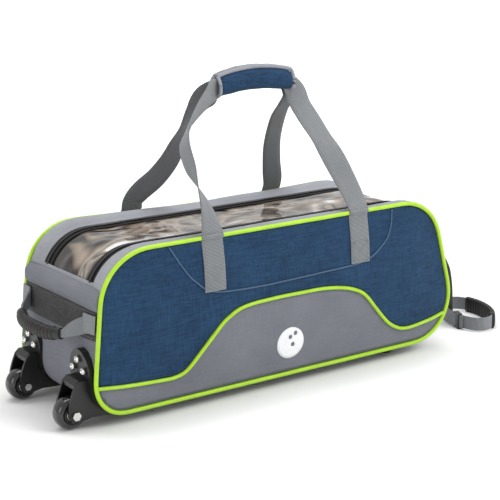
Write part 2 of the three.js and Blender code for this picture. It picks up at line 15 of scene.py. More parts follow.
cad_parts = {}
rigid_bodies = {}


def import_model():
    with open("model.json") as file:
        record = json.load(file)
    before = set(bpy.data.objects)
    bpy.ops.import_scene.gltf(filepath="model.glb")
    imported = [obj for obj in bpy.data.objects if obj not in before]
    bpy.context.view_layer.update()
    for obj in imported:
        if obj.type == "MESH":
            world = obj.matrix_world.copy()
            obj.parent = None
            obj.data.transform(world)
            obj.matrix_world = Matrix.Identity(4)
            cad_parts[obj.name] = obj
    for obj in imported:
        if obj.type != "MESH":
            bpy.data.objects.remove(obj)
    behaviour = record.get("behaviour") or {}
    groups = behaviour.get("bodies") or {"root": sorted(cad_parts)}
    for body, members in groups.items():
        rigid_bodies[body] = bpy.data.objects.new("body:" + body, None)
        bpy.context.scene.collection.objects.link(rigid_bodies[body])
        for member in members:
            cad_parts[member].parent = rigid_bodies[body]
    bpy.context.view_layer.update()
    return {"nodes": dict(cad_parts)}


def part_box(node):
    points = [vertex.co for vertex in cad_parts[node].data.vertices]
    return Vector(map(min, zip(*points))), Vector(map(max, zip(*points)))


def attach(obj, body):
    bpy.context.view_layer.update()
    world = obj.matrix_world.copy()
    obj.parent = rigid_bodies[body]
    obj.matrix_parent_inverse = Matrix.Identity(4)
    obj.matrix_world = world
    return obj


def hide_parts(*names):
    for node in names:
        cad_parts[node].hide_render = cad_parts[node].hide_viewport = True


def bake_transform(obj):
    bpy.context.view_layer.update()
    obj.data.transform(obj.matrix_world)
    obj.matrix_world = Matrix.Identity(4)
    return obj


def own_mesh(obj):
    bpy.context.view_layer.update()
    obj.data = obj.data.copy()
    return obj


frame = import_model()
NODES = frame["nodes"]
BOTH = (("near", -1.0), ("far", 1.0))
MM = 0.001


# ---------------------------------------------------------------- node material helpers
def new_material(name):
    material = bpy.data.materials.new(name)
    material.use_nodes = True
    tree = material.node_tree
    shader = tree.nodes["Principled BSDF"]
    return material, tree, shader


def node(tree, kind, inputs=None, **settings):
    made = tree.nodes.new(kind)
    for key, value in settings.items():
        setattr(made, key, value)
    for key, value in (inputs or {}).items():
        if isinstance(value, bpy.types.NodeSocket):
            tree.links.new(value, made.inputs[key])
        else:
            made.inputs[key].default_value = value
    return made


def coordinates(tree, scale=(1, 1, 1)):
    place = node(tree, "ShaderNodeTexCoord")
    mapping = node(tree, "ShaderNodeMapping", {"Vector": place.outputs["Object"], "Scale": scale})
    return mapping.outputs["Vector"]


def noise_value(tree, scale, size, detail=3.0, rough=0.5):
    made = node(tree, "ShaderNodeTexNoise",
                {"Vector": coordinates(tree, scale), "Scale": size, "Detail": detail, "Roughness": rough})
    return made.outputs["Fac"]


def wave_value(tree, direction, period, vector=None):
    """Bands that repeat every `period` metres along an axis of the given coordinates."""
    band_scale = 2 * math.pi / (20 * period)
    made = node(tree, "ShaderNodeTexWave",
                {"Vector": vector or coordinates(tree), "Scale": band_scale, "Distortion": 0.0},
                wave_type="BANDS", bands_direction=direction)
    return made.outputs["Fac"]


def ramp(tree, value, stops):
    made = node(tree, "ShaderNodeValToRGB", {"Fac": value})
    elements = made.color_ramp.elements
    while len(elements) < len(stops):
        elements.new(0.5)
    for element, (position, color) in zip(elements, stops):
        element.position = position
        element.color = (*color, 1.0)
    return made.outputs["Color"]


def maths(tree, operation, a, b):
    made = tree.nodes.new("ShaderNodeMath")
    made.operation = operation
    for socket, value in zip(made.inputs, (a, b)):
        if isinstance(value, bpy.types.NodeSocket):
            tree.links.new(value, socket)
        else:
            socket.default_value = value
    return made.outputs[0]


def bump(tree, shader, height, distance, strength=1.0):
    made = node(tree, "ShaderNodeBump", {"Height": height, "Distance": distance, "Strength": strength})
    tree.links.new(made.outputs["Normal"], shader.inputs["Normal"])


def weave_height(tree, period):
    """A plain weave: over-and-under bands in all three directions, so it needs no UVs."""
    bands = [wave_value(tree, axis, period) for axis in "XYZ"]
    crossed = maths(tree, "MULTIPLY", bands[0], bands[2])
    return maths(tree, "ADD", crossed, maths(tree, "MULTIPLY", bands[1], 0.6))


def cloth_material(name, dark, light, heather, period=0.0011, roughness=0.75, wear=0.12):
    """Woven polyester: streaks along both thread directions, fine weave bump and slow shade changes."""
    material, tree, shader = new_material(name)
    warp = noise_value(tree, (900, 900, 45), 1.0, 2.0)
    weft = noise_value(tree, (45, 45, 900), 1.0, 2.0)
    broad = noise_value(tree, (1, 1, 1), 14.0, 4.0)
    streaks = maths(tree, "MULTIPLY", maths(tree, "ADD", warp, weft), 0.5)
    contrast = maths(tree, "MULTIPLY", maths(tree, "SUBTRACT", streaks, 0.5), heather)
    shade = maths(tree, "MULTIPLY", maths(tree, "SUBTRACT", broad, 0.5), wear * 4)
    value = maths(tree, "ADD", maths(tree, "ADD", contrast, 0.5), shade)
    tree.links.new(ramp(tree, value, [(0.0, dark), (1.0, light)]), shader.inputs["Base Color"])
    shader.inputs["Roughness"].default_value = roughness
    shader.inputs["Sheen Weight"].default_value = 0.05
    shader.inputs["Specular IOR Level"].default_value = 0.2
    height = maths(tree, "ADD", weave_height(tree, period), maths(tree, "MULTIPLY", streaks, 1.2))
    bump(tree, shader, height, 0.00035, 0.7)
    return material


def webbing_material(name, dark, light, period=0.0021):
    """Ribbed webbing: ribs across the run, which is stored per point as the attribute `run`."""
    material, tree, shader = new_material(name)
    run = node(tree, "ShaderNodeAttribute", attribute_name="run")
    ribs = wave_value(tree, "X", period, run.outputs["Vector"])
    fine = wave_value(tree, "Y", 0.0012, run.outputs["Vector"])
    mottled = noise_value(tree, (1, 1, 1), 900.0, 2.0)
    # The colour follows the ribs, darker in the grooves and lighter on the crests: painted shade and
    # highlight from the rib relief, plus a random mottle.
    rib_shade_and_mottle = maths(tree, "ADD", maths(tree, "MULTIPLY", ribs, 0.6), maths(tree, "MULTIPLY", mottled, 0.4))
    tree.links.new(ramp(tree, rib_shade_and_mottle, [(0.1, dark), (0.8, light)]), shader.inputs["Base Color"])
    shader.inputs["Roughness"].default_value = 0.7
    shader.inputs["Sheen Weight"].default_value = 0.2
    bump(tree, shader, maths(tree, "ADD", ribs, maths(tree, "MULTIPLY", fine, 0.35)), 0.0006, 0.8)
    return material


def solid_material(name, color, roughness, metallic=0.0, coat=0.0, grain=0.0003, grain_scale=900.0,
                   wear=0.25):
    """Moulded plastic, rubber or metal: a grained surface with uneven gloss and lighter scuffs."""
    material, tree, shader = new_material(name)
    scuff = noise_value(tree, (1, 1, 1), 60.0, 6.0, 0.65)
    fine = noise_value(tree, (1, 1, 1), grain_scale, 2.0)
    lighter = tuple(min(1.0, c * (1 + wear) + 0.012 * wear) for c in color)
    darker = tuple(c * (1 - 0.5 * wear) for c in color)
    tree.links.new(ramp(tree, scuff, [(0.3, darker), (0.7, lighter)]), shader.inputs["Base Color"])
    gloss = node(tree, "ShaderNodeMapRange",
                 {"Value": scuff, "To Min": roughness * 0.8, "To Max": roughness * 1.25})
    tree.links.new(gloss.outputs["Result"], shader.inputs["Roughness"])
    shader.inputs["Metallic"].default_value = metallic
    shader.inputs["Coat Weight"].default_value = coat
    shader.inputs["Coat Roughness"].default_value = 0.15
    bump(tree, shader, fine, grain, 0.5)
    return material


def vinyl_material():
    """Clear wavy vinyl over a dark interior: the base colour is painted with large liquid patches of pale,
    tan and dark reflection.
    """
    material, tree, shader = new_material("window_vinyl")
    warp = node(tree, "ShaderNodeTexNoise",
                {"Vector": coordinates(tree, (1.0, 1.25, 1.0)), "Scale": 9.5, "Detail": 1.2,
                 "Distortion": 0.9})
    # Painted reflection: the pale, tan and dark patches are in the base colour.
    tree.links.new(ramp(tree, warp.outputs["Fac"], [
        (0.0, (0.010, 0.008, 0.007)), (0.40, (0.020, 0.015, 0.012)), (0.44, (0.15, 0.115, 0.085)),
        (0.50, (0.33, 0.265, 0.205)), (0.535, (0.06, 0.045, 0.036)), (0.60, (0.30, 0.25, 0.20)),
        (0.64, (0.74, 0.73, 0.71)),
    ]), shader.inputs["Base Color"])
    shader.inputs["Roughness"].default_value = 0.14
    shader.inputs["Specular IOR Level"].default_value = 0.5
    shader.inputs["Coat Weight"].default_value = 0.5
    shader.inputs["Coat Roughness"].default_value = 0.05
    bump(tree, shader, noise_value(tree, (1, 1, 1), 22.0, 2.0), 0.004, 0.5)
    return material


BLUE = cloth_material("blue_heather", (0.0012, 0.013, 0.044), (0.019, 0.072, 0.155), 2.3, roughness=0.72)
GRAY = cloth_material("gray_fabric", (0.108, 0.113, 0.134), (0.235, 0.245, 0.28), 0.7, period=0.0009)
# The trim's own gray, lightened about twofold to stand in for the light falling on the top strips: painted
# light. The bindings and the start tape share it.
TRIM_GRAY_PAINTED_LIGHT = cloth_material("trim_gray_painted_light", (0.19, 0.196, 0.22), (0.40, 0.41, 0.445), 0.7, period=0.0012)
BLACK_TAPE = cloth_material("black_tape", (0.003, 0.003, 0.0035), (0.014, 0.014, 0.015), 1.0, period=0.0013)
WEBBING = webbing_material("webbing_gray", (0.078, 0.085, 0.092), (0.27, 0.285, 0.30))
# A darker copy of the gray webbing for the far carry strap: painted shade on the side turned away from the
# light.
FAR_WEBBING_PAINTED_SHADE = webbing_material("webbing_gray_shaded", (0.045, 0.047, 0.052), (0.15, 0.155, 0.165))
DARK_WEBBING = webbing_material("webbing_dark", (0.012, 0.012, 0.013), (0.06, 0.06, 0.064))
BAND = cloth_material("textured_band", (0.012, 0.012, 0.013), (0.085, 0.084, 0.086), 2.4, period=0.0024)
LIME = solid_material("lime_piping", (0.36, 0.62, 0.008), 0.42, coat=0.15, grain=0.0002, wear=0.12)
SEAM = solid_material("seam_piping", (0.045, 0.095, 0.17), 0.5, wear=0.15)
THREAD = solid_material("thread_light", (0.20, 0.205, 0.225), 0.6, wear=0.2)
BLUE_THREAD = solid_material("thread_blue", (0.022, 0.05, 0.095), 0.6, wear=0.2)
VINYL = vinyl_material()
MOULDED = solid_material("moulded_black", (0.0045, 0.0045, 0.0045), 0.36, coat=0.05, grain=0.0002)
RUBBER = solid_material("rubber_black", (0.0085, 0.0072, 0.0066), 0.45, grain=0.0003, wear=0.4)
TYRE = solid_material("tyre_black", (0.004, 0.004, 0.004), 0.2, coat=0.5, grain=0.00006, wear=0.5)
STEEL = solid_material("plated_steel", (0.62, 0.61, 0.60), 0.22, metallic=1.0, grain=0.00004, wear=0.15)
FOAM = solid_material("foam", (0.03, 0.03, 0.034), 0.9, grain=0.001, grain_scale=500.0)
BOARD = solid_material("board", (0.03, 0.03, 0.032), 0.55)
PRINT = solid_material("print_white", (0.78, 0.79, 0.81), 0.45, grain=0.0001, wear=0.06)


# ---------------------------------------------------------------- mesh helpers
def make(name, verts, faces, material, angle=50.0):
    mesh = bpy.data.meshes.new(name)
    mesh.from_pydata([tuple(v) for v in verts], [], [tuple(f) for f in faces])
    return finish_mesh(name, mesh, material, angle)


def finish_mesh(name, mesh, material, angle=50.0):
    bm = bmesh.new()
    bm.from_mesh(mesh)
    bmesh.ops.recalc_face_normals(bm, faces=bm.faces)
    bm.to_mesh(mesh)
    bm.free()
    mesh.shade_smooth()
    mesh.set_sharp_from_angle(angle=math.radians(angle))
    mesh.materials.append(material)
    obj = bpy.data.objects.new(name, mesh)
    bpy.context.scene.collection.objects.link(obj)
    return obj


def place(obj, body, slot, *replaced):
    if body:
        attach(obj, body)
    if replaced:
        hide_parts(*replaced)
    return obj


def loft(name, rings, material, closed=False, caps=True, run=None, angle=50.0):
    """A closed skin over rings of points. `run` is the distance along the piece at each ring."""
    rings = np.asarray(rings, float)
    count, around = rings.shape[:2]
    faces = []
    for i in range(count if closed else count - 1):
        j = (i + 1) % count
        for k in range(around):
            m = (k + 1) % around
            faces.append((i * around + k, i * around + m, j * around + m, j * around + k))
    if caps and not closed:
        faces.append(tuple(range(around)))
        faces.append(tuple((count - 1) * around + k for k in reversed(range(around))))
    obj = make(name, rings.reshape(-1, 3), faces, material, angle)
    if run is not None:
        values = np.zeros((count * around, 3), np.float32)
        values[:, 0] = np.repeat(run, around)
        values[:, 1] = np.tile(np.linspace(0, 0.04, around), count)
        attribute = obj.data.attributes.new("run", "FLOAT_VECTOR", "POINT")
        attribute.data.foreach_set("vector", values.ravel())
    return obj


def catmull(points, count):
    """Evenly stepped Catmull-Rom curve through the points."""
    points = np.asarray(points, float)
    padded = np.vstack([2 * points[0] - points[1], points, 2 * points[-1] - points[-2]])
    t = np.linspace(0, len(points) - 1, count)
    i = np.minimum(t.astype(int), len(points) - 2)
    u = (t - i)[:, None]
    a, b, c, d = (padded[i + k] for k in range(4))
    square, cube = 2 * a - 5 * b + 4 * c - d, 3 * b - a - 3 * c + d
    return 0.5 * (2 * b + (c - a) * u + square * u ** 2 + cube * u ** 3)


def unit(v):
    return v / np.maximum(np.linalg.norm(v, axis=-1, keepdims=True), 1e-9)


STRAP_SECTION = np.array([
    (-0.5, -0.2), (-0.485, -0.5), (-0.25, -0.5), (0.0, -0.5), (0.25, -0.5), (0.485, -0.5), (0.5, -0.2),
    (0.5, 0.2), (0.485, 0.5), (0.25, 0.5), (0.0, 0.5), (-0.25, 0.5), (-0.485, 0.5), (-0.5, 0.2),
])


def distances(path):
    return np.concatenate([[0], np.cumsum(np.linalg.norm(np.diff(path, axis=0), axis=1))])


def webbing(name, centres, across, width, thickness, material, steps=220, rib=0.0):
    """Flat webbing along stations of centre and width direction, with selvedge edges."""
    path, sideways = catmull(centres, steps), unit(catmull(across, steps))
    along = unit(np.gradient(path, axis=0))
    normal = unit(np.cross(along, sideways))
    side = unit(np.cross(normal, along))
    run = distances(path)
    stations = np.broadcast_to(np.asarray(width, float), (len(centres),))
    widths = catmull(stations[:, None], steps)[:, 0]
    thick = thickness * (1 + rib * np.sin(2 * math.pi * run / 0.0042))
    flat, deep = STRAP_SECTION.T
    rings = [
        path[i] + np.outer(flat * widths[i], side[i]) + np.outer(deep * thick[i], normal[i])
        for i in range(steps)
    ]
    return loft(name, rings, material, run=run)


def cord(name, path, radius, material, around=10, closed=False, caps=True):
    """A round cord along a path."""
    path = np.asarray(path, float)
    if closed:
        along = unit(np.roll(path, -1, 0) - np.roll(path, 1, 0))
    else:
        along = unit(np.gradient(path, axis=0))
    reference = np.array([0.0, 1.0, 0.0])
    if abs(along[:, 1]).max() > 0.9:
        reference = np.array([0.0, 0.0, 1.0])
    side = unit(np.cross(along, reference))
    up = unit(np.cross(side, along))
    angles = np.linspace(0, 2 * math.pi, around, endpoint=False)
    rings = [p + radius * (np.outer(np.cos(angles), s) + np.outer(np.sin(angles), u))
             for p, s, u in zip(path, side, up)]
    return loft(name, rings, material, closed=closed, caps=caps, angle=80)


def stitches(name, path, normals, material, pitch=0.0034, length=0.0024, radius=0.00042):
    """A row of raised stitches: one small rounded bar for each stitch along the path."""
    path, normals = np.asarray(path, float), np.asarray(normals, float)
    run = distances(path)
    verts, faces = [], []
    for start in np.arange(pitch / 2, run[-1] - length, pitch):
        ends = [np.array([np.interp(start + d, run, path[:, k]) for k in range(3)]) for d in (0, length)]
        normal = unit(np.array([np.interp(start, run, normals[:, k]) for k in range(3)]))
        along = unit(ends[1] - ends[0])
        side = np.cross(normal, along)
        base = len(verts)
        for share, swell in ((0, 0.45), (0.25, 1.0), (0.75, 1.0), (1, 0.45)):
            centre = ends[0] + (ends[1] - ends[0]) * share
            for a, b in ((1, 0), (0, 1), (-1, 0), (0, -1)):
                verts.append(centre + radius * swell * (a * side + b * normal))
        for ring in range(3):
            for k in range(4):
                a, b = base + ring * 4 + k, base + ring * 4 + (k + 1) % 4
                faces.append((a, b, b + 4, a + 4))
        faces.append(tuple(base + k for k in range(4)))
        faces.append(tuple(base + 12 + k for k in reversed(range(4))))
    return make(name, verts, faces, material, 70)


CLOTH_FRAMES = 20


def cushion(obj, held, cap, voxel=0.005, pressure=4.0):
    """Swells a padded piece with a short cloth run and keeps each point within `cap` of where it was.

    held(co) says which points are sewn down.
    """
    scene = bpy.context.scene
    even = obj.modifiers.new("even", "REMESH")
    even.mode = "VOXEL"
    even.voxel_size = voxel
    even.use_smooth_shade = True
    mesh = bpy.data.meshes.new_from_object(obj.evaluated_get(bpy.context.evaluated_depsgraph_get()))
    obj.modifiers.clear()
    obj.data = mesh
    rest = np.empty(len(mesh.vertices) * 3, np.float32)
    mesh.vertices.foreach_get("co", rest)
    rest = rest.reshape(-1, 3)
    group = obj.vertex_groups.new(name="sewn")
    group.add(np.nonzero(held(rest))[0].tolist(), 1.0, "REPLACE")
    cloth = obj.modifiers.new("cloth", "CLOTH")
    settings = cloth.settings
    settings.quality = 5
    settings.mass = 0.3
    settings.tension_stiffness = settings.compression_stiffness = 12.0
    settings.bending_stiffness = 0.4
    settings.use_pressure = True
    settings.uniform_pressure_force = pressure
    settings.effector_weights.gravity = 0.0
    settings.vertex_group_mass = "sewn"
    cloth.collision_settings.use_collision = False
    cloth.point_cache.frame_start = 1
    cloth.point_cache.frame_end = CLOTH_FRAMES
    for frame_number in range(1, CLOTH_FRAMES + 1):
        scene.frame_set(frame_number)
    settled = obj.evaluated_get(bpy.context.evaluated_depsgraph_get()).data
    moved = np.empty(len(settled.vertices) * 3, np.float32)
    settled.vertices.foreach_get("co", moved)
    shift = moved.reshape(-1, 3) - rest
    length = np.linalg.norm(shift, axis=1, keepdims=True)
    shift *= np.minimum(1.0, cap / np.maximum(length, 1e-9))
    mesh.vertices.foreach_set("co", (rest + shift).ravel())
    obj.modifiers.clear()
    scene.frame_set(1)
    smooth = obj.modifiers.new("smooth", "SUBSURF")
    smooth.levels = smooth.render_levels = 1


# ---------------------------------------------------------------- the side outline, from the frame
def flat_loop(name, sign):
    """Ordered (x, z) boundary of the flat face of a CAD plate on its outer side."""
    mesh = NODES[name].data
    lo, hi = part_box(name)
    face_y = lo.y if sign < 0 else hi.y
    flat = [p for p in mesh.polygons if all(abs(mesh.vertices[v].co.y - face_y) < 1e-5 for v in p.vertices)]
    key = {}
    def corner(v):
        co = mesh.vertices[v].co
        return key.setdefault((round(co.x, 6), round(co.z, 6)), len(key))
    edges = {}
    for polygon in flat:
        ids = [corner(v) for v in polygon.vertices]
        for a, b in zip(ids, ids[1:] + ids[:1]):
            edges[(a, b)] = edges.get((a, b), 0) + 1
    follow = {a: b for (a, b) in edges if (b, a) not in edges}
    points = list(key)
    start = next(iter(follow))
    order = [start]
    while follow[order[-1]] != start:
        order.append(follow[order[-1]])
    return np.array([points[i] for i in order])


STIFFENER_INSET = 0.016
FACE_Y = -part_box("side_panel_near_upper")[0].y


def outline_from_frame():
    """Points of the side outline, walked clockwise from the middle of the base."""
    loop = flat_loop("side_stiffener_near", -1)
    area = np.sum(loop[:, 0] * np.roll(loop[:, 1], -1) - np.roll(loop[:, 0], -1) * loop[:, 1])
    loop = loop if area < 0 else loop[::-1]
    edge = unit(np.roll(loop, -1, 0) - loop)
    edge_normal = np.stack([-edge[:, 1], edge[:, 0]], 1)
    normal = unit(edge_normal + np.roll(edge_normal, 1, 0))
    stretch = 1 / np.maximum(0.2, np.sum(normal * edge_normal, 1))
    loop = loop + normal * STIFFENER_INSET * stretch[:, None]
    nearness = np.abs(loop[:, 1]) + 1e-3 * np.abs(loop[:, 0])
    start = int(np.argmin(np.where(loop[:, 0] < 0, nearness, 9)))
    loop = np.roll(loop, -start, 0)
    base_middle = np.array([[0.0, 0.0]])
    return np.vstack([base_middle, loop, base_middle])


def dense_outline(loop, spacing=0.004):
    """The outline with its facets rounded off: distances, evenly spaced points and smoothed normals."""
    run = distances(loop)
    count = int(run[-1] / spacing)
    s = np.linspace(0, run[-1], count)
    points = np.stack([np.interp(s, run, loop[:, k]) for k in range(2)], 1)
    window = np.hanning(9)[1:-1]
    window /= window.sum()
    padded = np.vstack([points[-5:-1], points, points[1:5]])
    smooth = np.stack([np.convolve(padded[:, k], window, "same")[4:-4] for k in range(2)], 1)
    tangent = unit(np.gradient(smooth, axis=0))
    normals = np.stack([-tangent[:, 1], tangent[:, 0]], 1)
    return s, smooth, normals


RUN, OUTLINE, OUTLINE_NORMAL = dense_outline(outline_from_frame())
TOTAL_RUN = RUN[-1]
TOP_RUN = RUN[np.argmin(np.where(OUTLINE[:, 1] > 0.2, np.abs(OUTLINE[:, 0]), 9))]


def on_outline(s, outset):
    """Points (x, z) on the outline moved outwards."""
    s = np.asarray(s, float)
    point = np.stack([np.interp(s, RUN, OUTLINE[:, k]) for k in range(2)], -1)
    normal = unit(np.stack([np.interp(s, RUN, OUTLINE_NORMAL[:, k]) for k in range(2)], -1))
    return point + normal * np.asarray(outset)[..., None], normal


def run_where(axis, value, low, high):
    """First distance between low and high where the outline's x (0) or z (1) passes a value."""
    inside = (RUN > low) & (RUN < high)
    s, v = RUN[inside], OUTLINE[inside, axis] - value
    cross = np.nonzero(v[:-1] * v[1:] <= 0)[0][0]
    return s[cross] + (s[cross + 1] - s[cross]) * v[cross] / (v[cross] - v[cross + 1])


def wheel_end(z):
    return run_where(1, z, 0.05, TOP_RUN)


def strap_end(z):
    return run_where(1, z, TOP_RUN, TOTAL_RUN - 0.05)


def distance_to_outline(x, z):
    """Shortest distance from flat points to the outline."""
    points = np.stack([x, z], -1)[:, None, :]
    return np.sqrt(((points - OUTLINE[None]) ** 2).sum(-1)).min(1)


def smooth_noise(points, scale, seed=0.0):
    return np.array([noise.noise(Vector(p) * scale + Vector((seed, seed, seed))) for p in np.asarray(points)])


def dome(x, z, sign):
    """How far a side panel stands out from its sewn edge: a padded dome with soft wrinkles."""
    x, z = np.atleast_1d(x).astype(float), np.atleast_1d(z).astype(float)
    d = distance_to_outline(x, z)
    swell = 0.0085 * (1 - np.exp(-(d / 0.042) ** 1.5))
    points = np.stack([x * 1.0, np.full_like(x, sign * 0.3), z * 1.6], 1)
    wrinkle = 0.0016 * smooth_noise(points, 14.0) + 0.0007 * smooth_noise(points, 38.0, 5.0)
    return swell + wrinkle * np.clip(d / 0.02, 0, 1)


def side_y(x, z, sign, out=0.0):
    return sign * (FACE_Y - 0.001 + dome(x, z, sign) + out)


# ---------------------------------------------------------------- side panels and their trim
def side_panel(side, sign, part, material, slot):
    name = f"side_panel_{side}_{part}"
    loop = flat_loop(name, sign)
    bm = bmesh.new()
    bm.faces.new([bm.verts.new((x, 0.0, z)) for x, z in loop])
    lo, hi = loop.min(0), loop.max(0)
    for axis, cell in ((0, 0.007), (1, 0.007)):
        normal = (1, 0, 0) if axis == 0 else (0, 0, 1)
        for at in np.arange(lo[axis] + cell, hi[axis], cell):
            point = (at, 0, 0) if axis == 0 else (0, 0, at)
            geometry = bm.verts[:] + bm.edges[:] + bm.faces[:]
            bmesh.ops.bisect_plane(bm, geom=geometry, plane_co=point, plane_no=normal, dist=1e-6)
    bmesh.ops.remove_doubles(bm, verts=bm.verts, dist=1e-5)
    bmesh.ops.triangulate(bm, faces=[f for f in bm.faces if len(f.verts) > 4])
    co = np.array([v.co for v in bm.verts])
    y = side_y(co[:, 0], co[:, 2], sign)
    for vertex, value in zip(bm.verts, y):
        vertex.co.y = value
    mesh = bpy.data.meshes.new(name + "_skin")
    bm.to_mesh(mesh)
    bm.free()
    obj = finish_mesh(name + "_skin", mesh, material, 60)
    up = obj.data.polygons[0].normal.y * sign
    thick = obj.modifiers.new("thickness", "SOLIDIFY")
    thick.thickness = 0.0022
    thick.offset = -1.0 if up > 0 else 1.0
    return place(obj, "root", slot, name)


def accent_points():
    """The accent line: the part of the lower panel's edge that lies away from the outline."""
    loop = flat_loop("side_panel_near_lower", -1)
    away = distance_to_outline(loop[:, 0], loop[:, 1]) > 0.0045
    inner = loop[away]
    return inner[np.argsort(inner[:, 0])]


POCKET_LINE = np.array([
    (-225, 240), (-205, 208), (-185, 183), (-150, 161), (-71, 156), (54, 158), (140, 163), (182, 186),
    (199, 212), (205, 240),
]) * MM


def side_trim(side, sign):
    accent = accent_points()
    ends = [accent[0] + (-0.006, 0.0), accent[-1] + (0.008, 0.0)]
    accent = catmull(np.vstack([ends[0], accent[2:-2:2], ends[1]]), 200)
    y = side_y(accent[:, 0], accent[:, 1], sign, 0.0018)
    path = np.stack([accent[:, 0], y, accent[:, 1]], 1)
    place(cord(f"accent_cord_{side}", path, 0.0030, LIME), "root", "lime_piping", f"accent_piping_{side}")
    for shift, label, thread in ((0.0058, "above", BLUE_THREAD), (-0.0058, "below", THREAD)):
        row = path.copy()
        row[:, 2] += shift
        row[:, 1] = side_y(row[:, 0], row[:, 2], sign, 0.0002)
        outward = np.tile((0, sign, 0), (len(row), 1))
        slot = "blue_fabric" if label == "above" else "gray_fabric"
        place(stitches(f"accent_stitches_{label}_{side}", row[4:-4], outward[4:-4], thread), "root", slot)
    pocket = catmull(POCKET_LINE, 160)
    y = side_y(pocket[:, 0], pocket[:, 1], sign, 0.0008)
    path = np.stack([pocket[:, 0], y, pocket[:, 1]], 1)
    place(cord(f"pocket_cord_{side}", path, 0.0013, SEAM, 8), "root", "seam_piping", f"pocket_piping_{side}")


RIM_STITCH_INSET = 0.0062


def rim_cord(side, sign):
    y_centre = sum(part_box(f"rim_piping_{side}")[k].y for k in (0, 1)) / 2
    s = np.linspace(0, TOTAL_RUN, 360, endpoint=False)
    flat, _ = on_outline(s, np.full_like(s, 0.0003))
    path = np.stack([flat[:, 0], np.full_like(s, y_centre), flat[:, 1]], 1)
    path[:, 1] += sign * 0.0006 * smooth_noise(path, 20.0)
    rim = cord(f"rim_cord_{side}", path, 0.0034, LIME, 12, closed=True)
    place(rim, "root", "lime_piping", f"rim_piping_{side}")
    row, _ = on_outline(np.append(s, TOTAL_RUN), np.full(len(s) + 1, -RIM_STITCH_INSET))
    y = side_y(row[:, 0], row[:, 1], sign, 0.0002)
    normals = np.tile((0, sign, 0), (len(row), 1))
    path = np.stack([row[:, 0], y, row[:, 1]], 1)
    place(stitches(f"rim_stitches_panel_{side}", path, normals, BLUE_THREAD), "root", "blue_fabric")


# ---------------------------------------------------------------- sheets that follow the outline
def two_layer_faces(rows, columns):
    """Faces of two grids of points, one above the other, and of the wall round their border."""
    size = rows * columns
    faces = []
    for i in range(rows - 1):
        for j in range(columns - 1):
            a = i * columns + j
            quad = (a, a + 1, a + columns + 1, a + columns)
            faces.append(quad)
            faces.append(tuple(v + size for v in reversed(quad)))
    border = list(range(columns)) + [i * columns + columns - 1 for i in range(1, rows)]
    border += [(rows - 1) * columns + j for j in range(columns - 2, -1, -1)]
    border += [i * columns for i in range(rows - 2, 0, -1)]
    return faces + [(a, b, b + size, a + size) for a, b in zip(border, border[1:] + border[:1])]


def sheet(name, s0, s1, y0, y1, outset, material, thickness=0.002, cells=(160, 20)):
    """A closed fabric sheet along the outline. outset(s, y) gives its outer surface."""
    s, y = np.linspace(s0, s1, cells[0]), np.linspace(y0, y1, cells[1])
    grid_s, grid_y = np.meshgrid(s, y, indexing="ij")
    layers = []
    for depth in (0.0, thickness):
        flat, _ = on_outline(grid_s, outset(grid_s, grid_y) - depth)
        layers.append(np.stack([flat[..., 0], grid_y, flat[..., 1]], -1).reshape(-1, 3))
    rows, columns = cells
    obj = make(name, np.vstack(layers), two_layer_faces(rows, columns), material, 60)
    flat_run = [np.tile(grid_y.ravel(), 2), np.tile(grid_s.ravel(), 2), np.zeros(2 * rows * columns)]
    values = np.stack(flat_run, 1)
    attribute = obj.data.attributes.new("run", "FLOAT_VECTOR", "POINT")
    attribute.data.foreach_set("vector", values.astype(np.float32).ravel())
    return obj


def field_noise(s, y, scale_s, scale_y, seed):
    flat = np.stack([s.ravel() * scale_s, y.ravel() * scale_y, np.full(s.size, seed)], 1)
    return np.array([noise.noise(Vector(p)) for p in flat]).reshape(s.shape)


GUSSET_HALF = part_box("base_panel")[1].y
STRIP_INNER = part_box("gusset_strip_far")[0].y
ZIP_LINE = (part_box("lid_frame_front")[1].y + STRIP_INNER - 0.0112) / 2
WINDOW_HALF = 0.057
CREASE_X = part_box("lid_frame_rear")[1].x
CREASE_RUN = run_where(0, CREASE_X, TOP_RUN - 0.2, TOP_RUN + 0.3)
ZIP_END_RUN = strap_end(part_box("lid_frame_front")[0].z)
REAR_RUN = wheel_end(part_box("wheel_end_roll")[1].z)


def edge_drop(y, half=0.1167, depth=0.0012, width=0.012):
    return depth * np.exp(-((half - np.abs(y)) / width) ** 2)


def end_swell(s, y, low, high, height):
    """Padded bulge between two seams, flat at the sewn edges."""
    across = np.clip(1 - (np.abs(y) / GUSSET_HALF) ** 4, 0, 1)
    along = np.sin(np.pi * np.clip((s - low) / (high - low), 0, 1)) ** 0.6
    return height * across * along


STRIP_PUFF = {"near": 0.0045, "far": 0.0085}


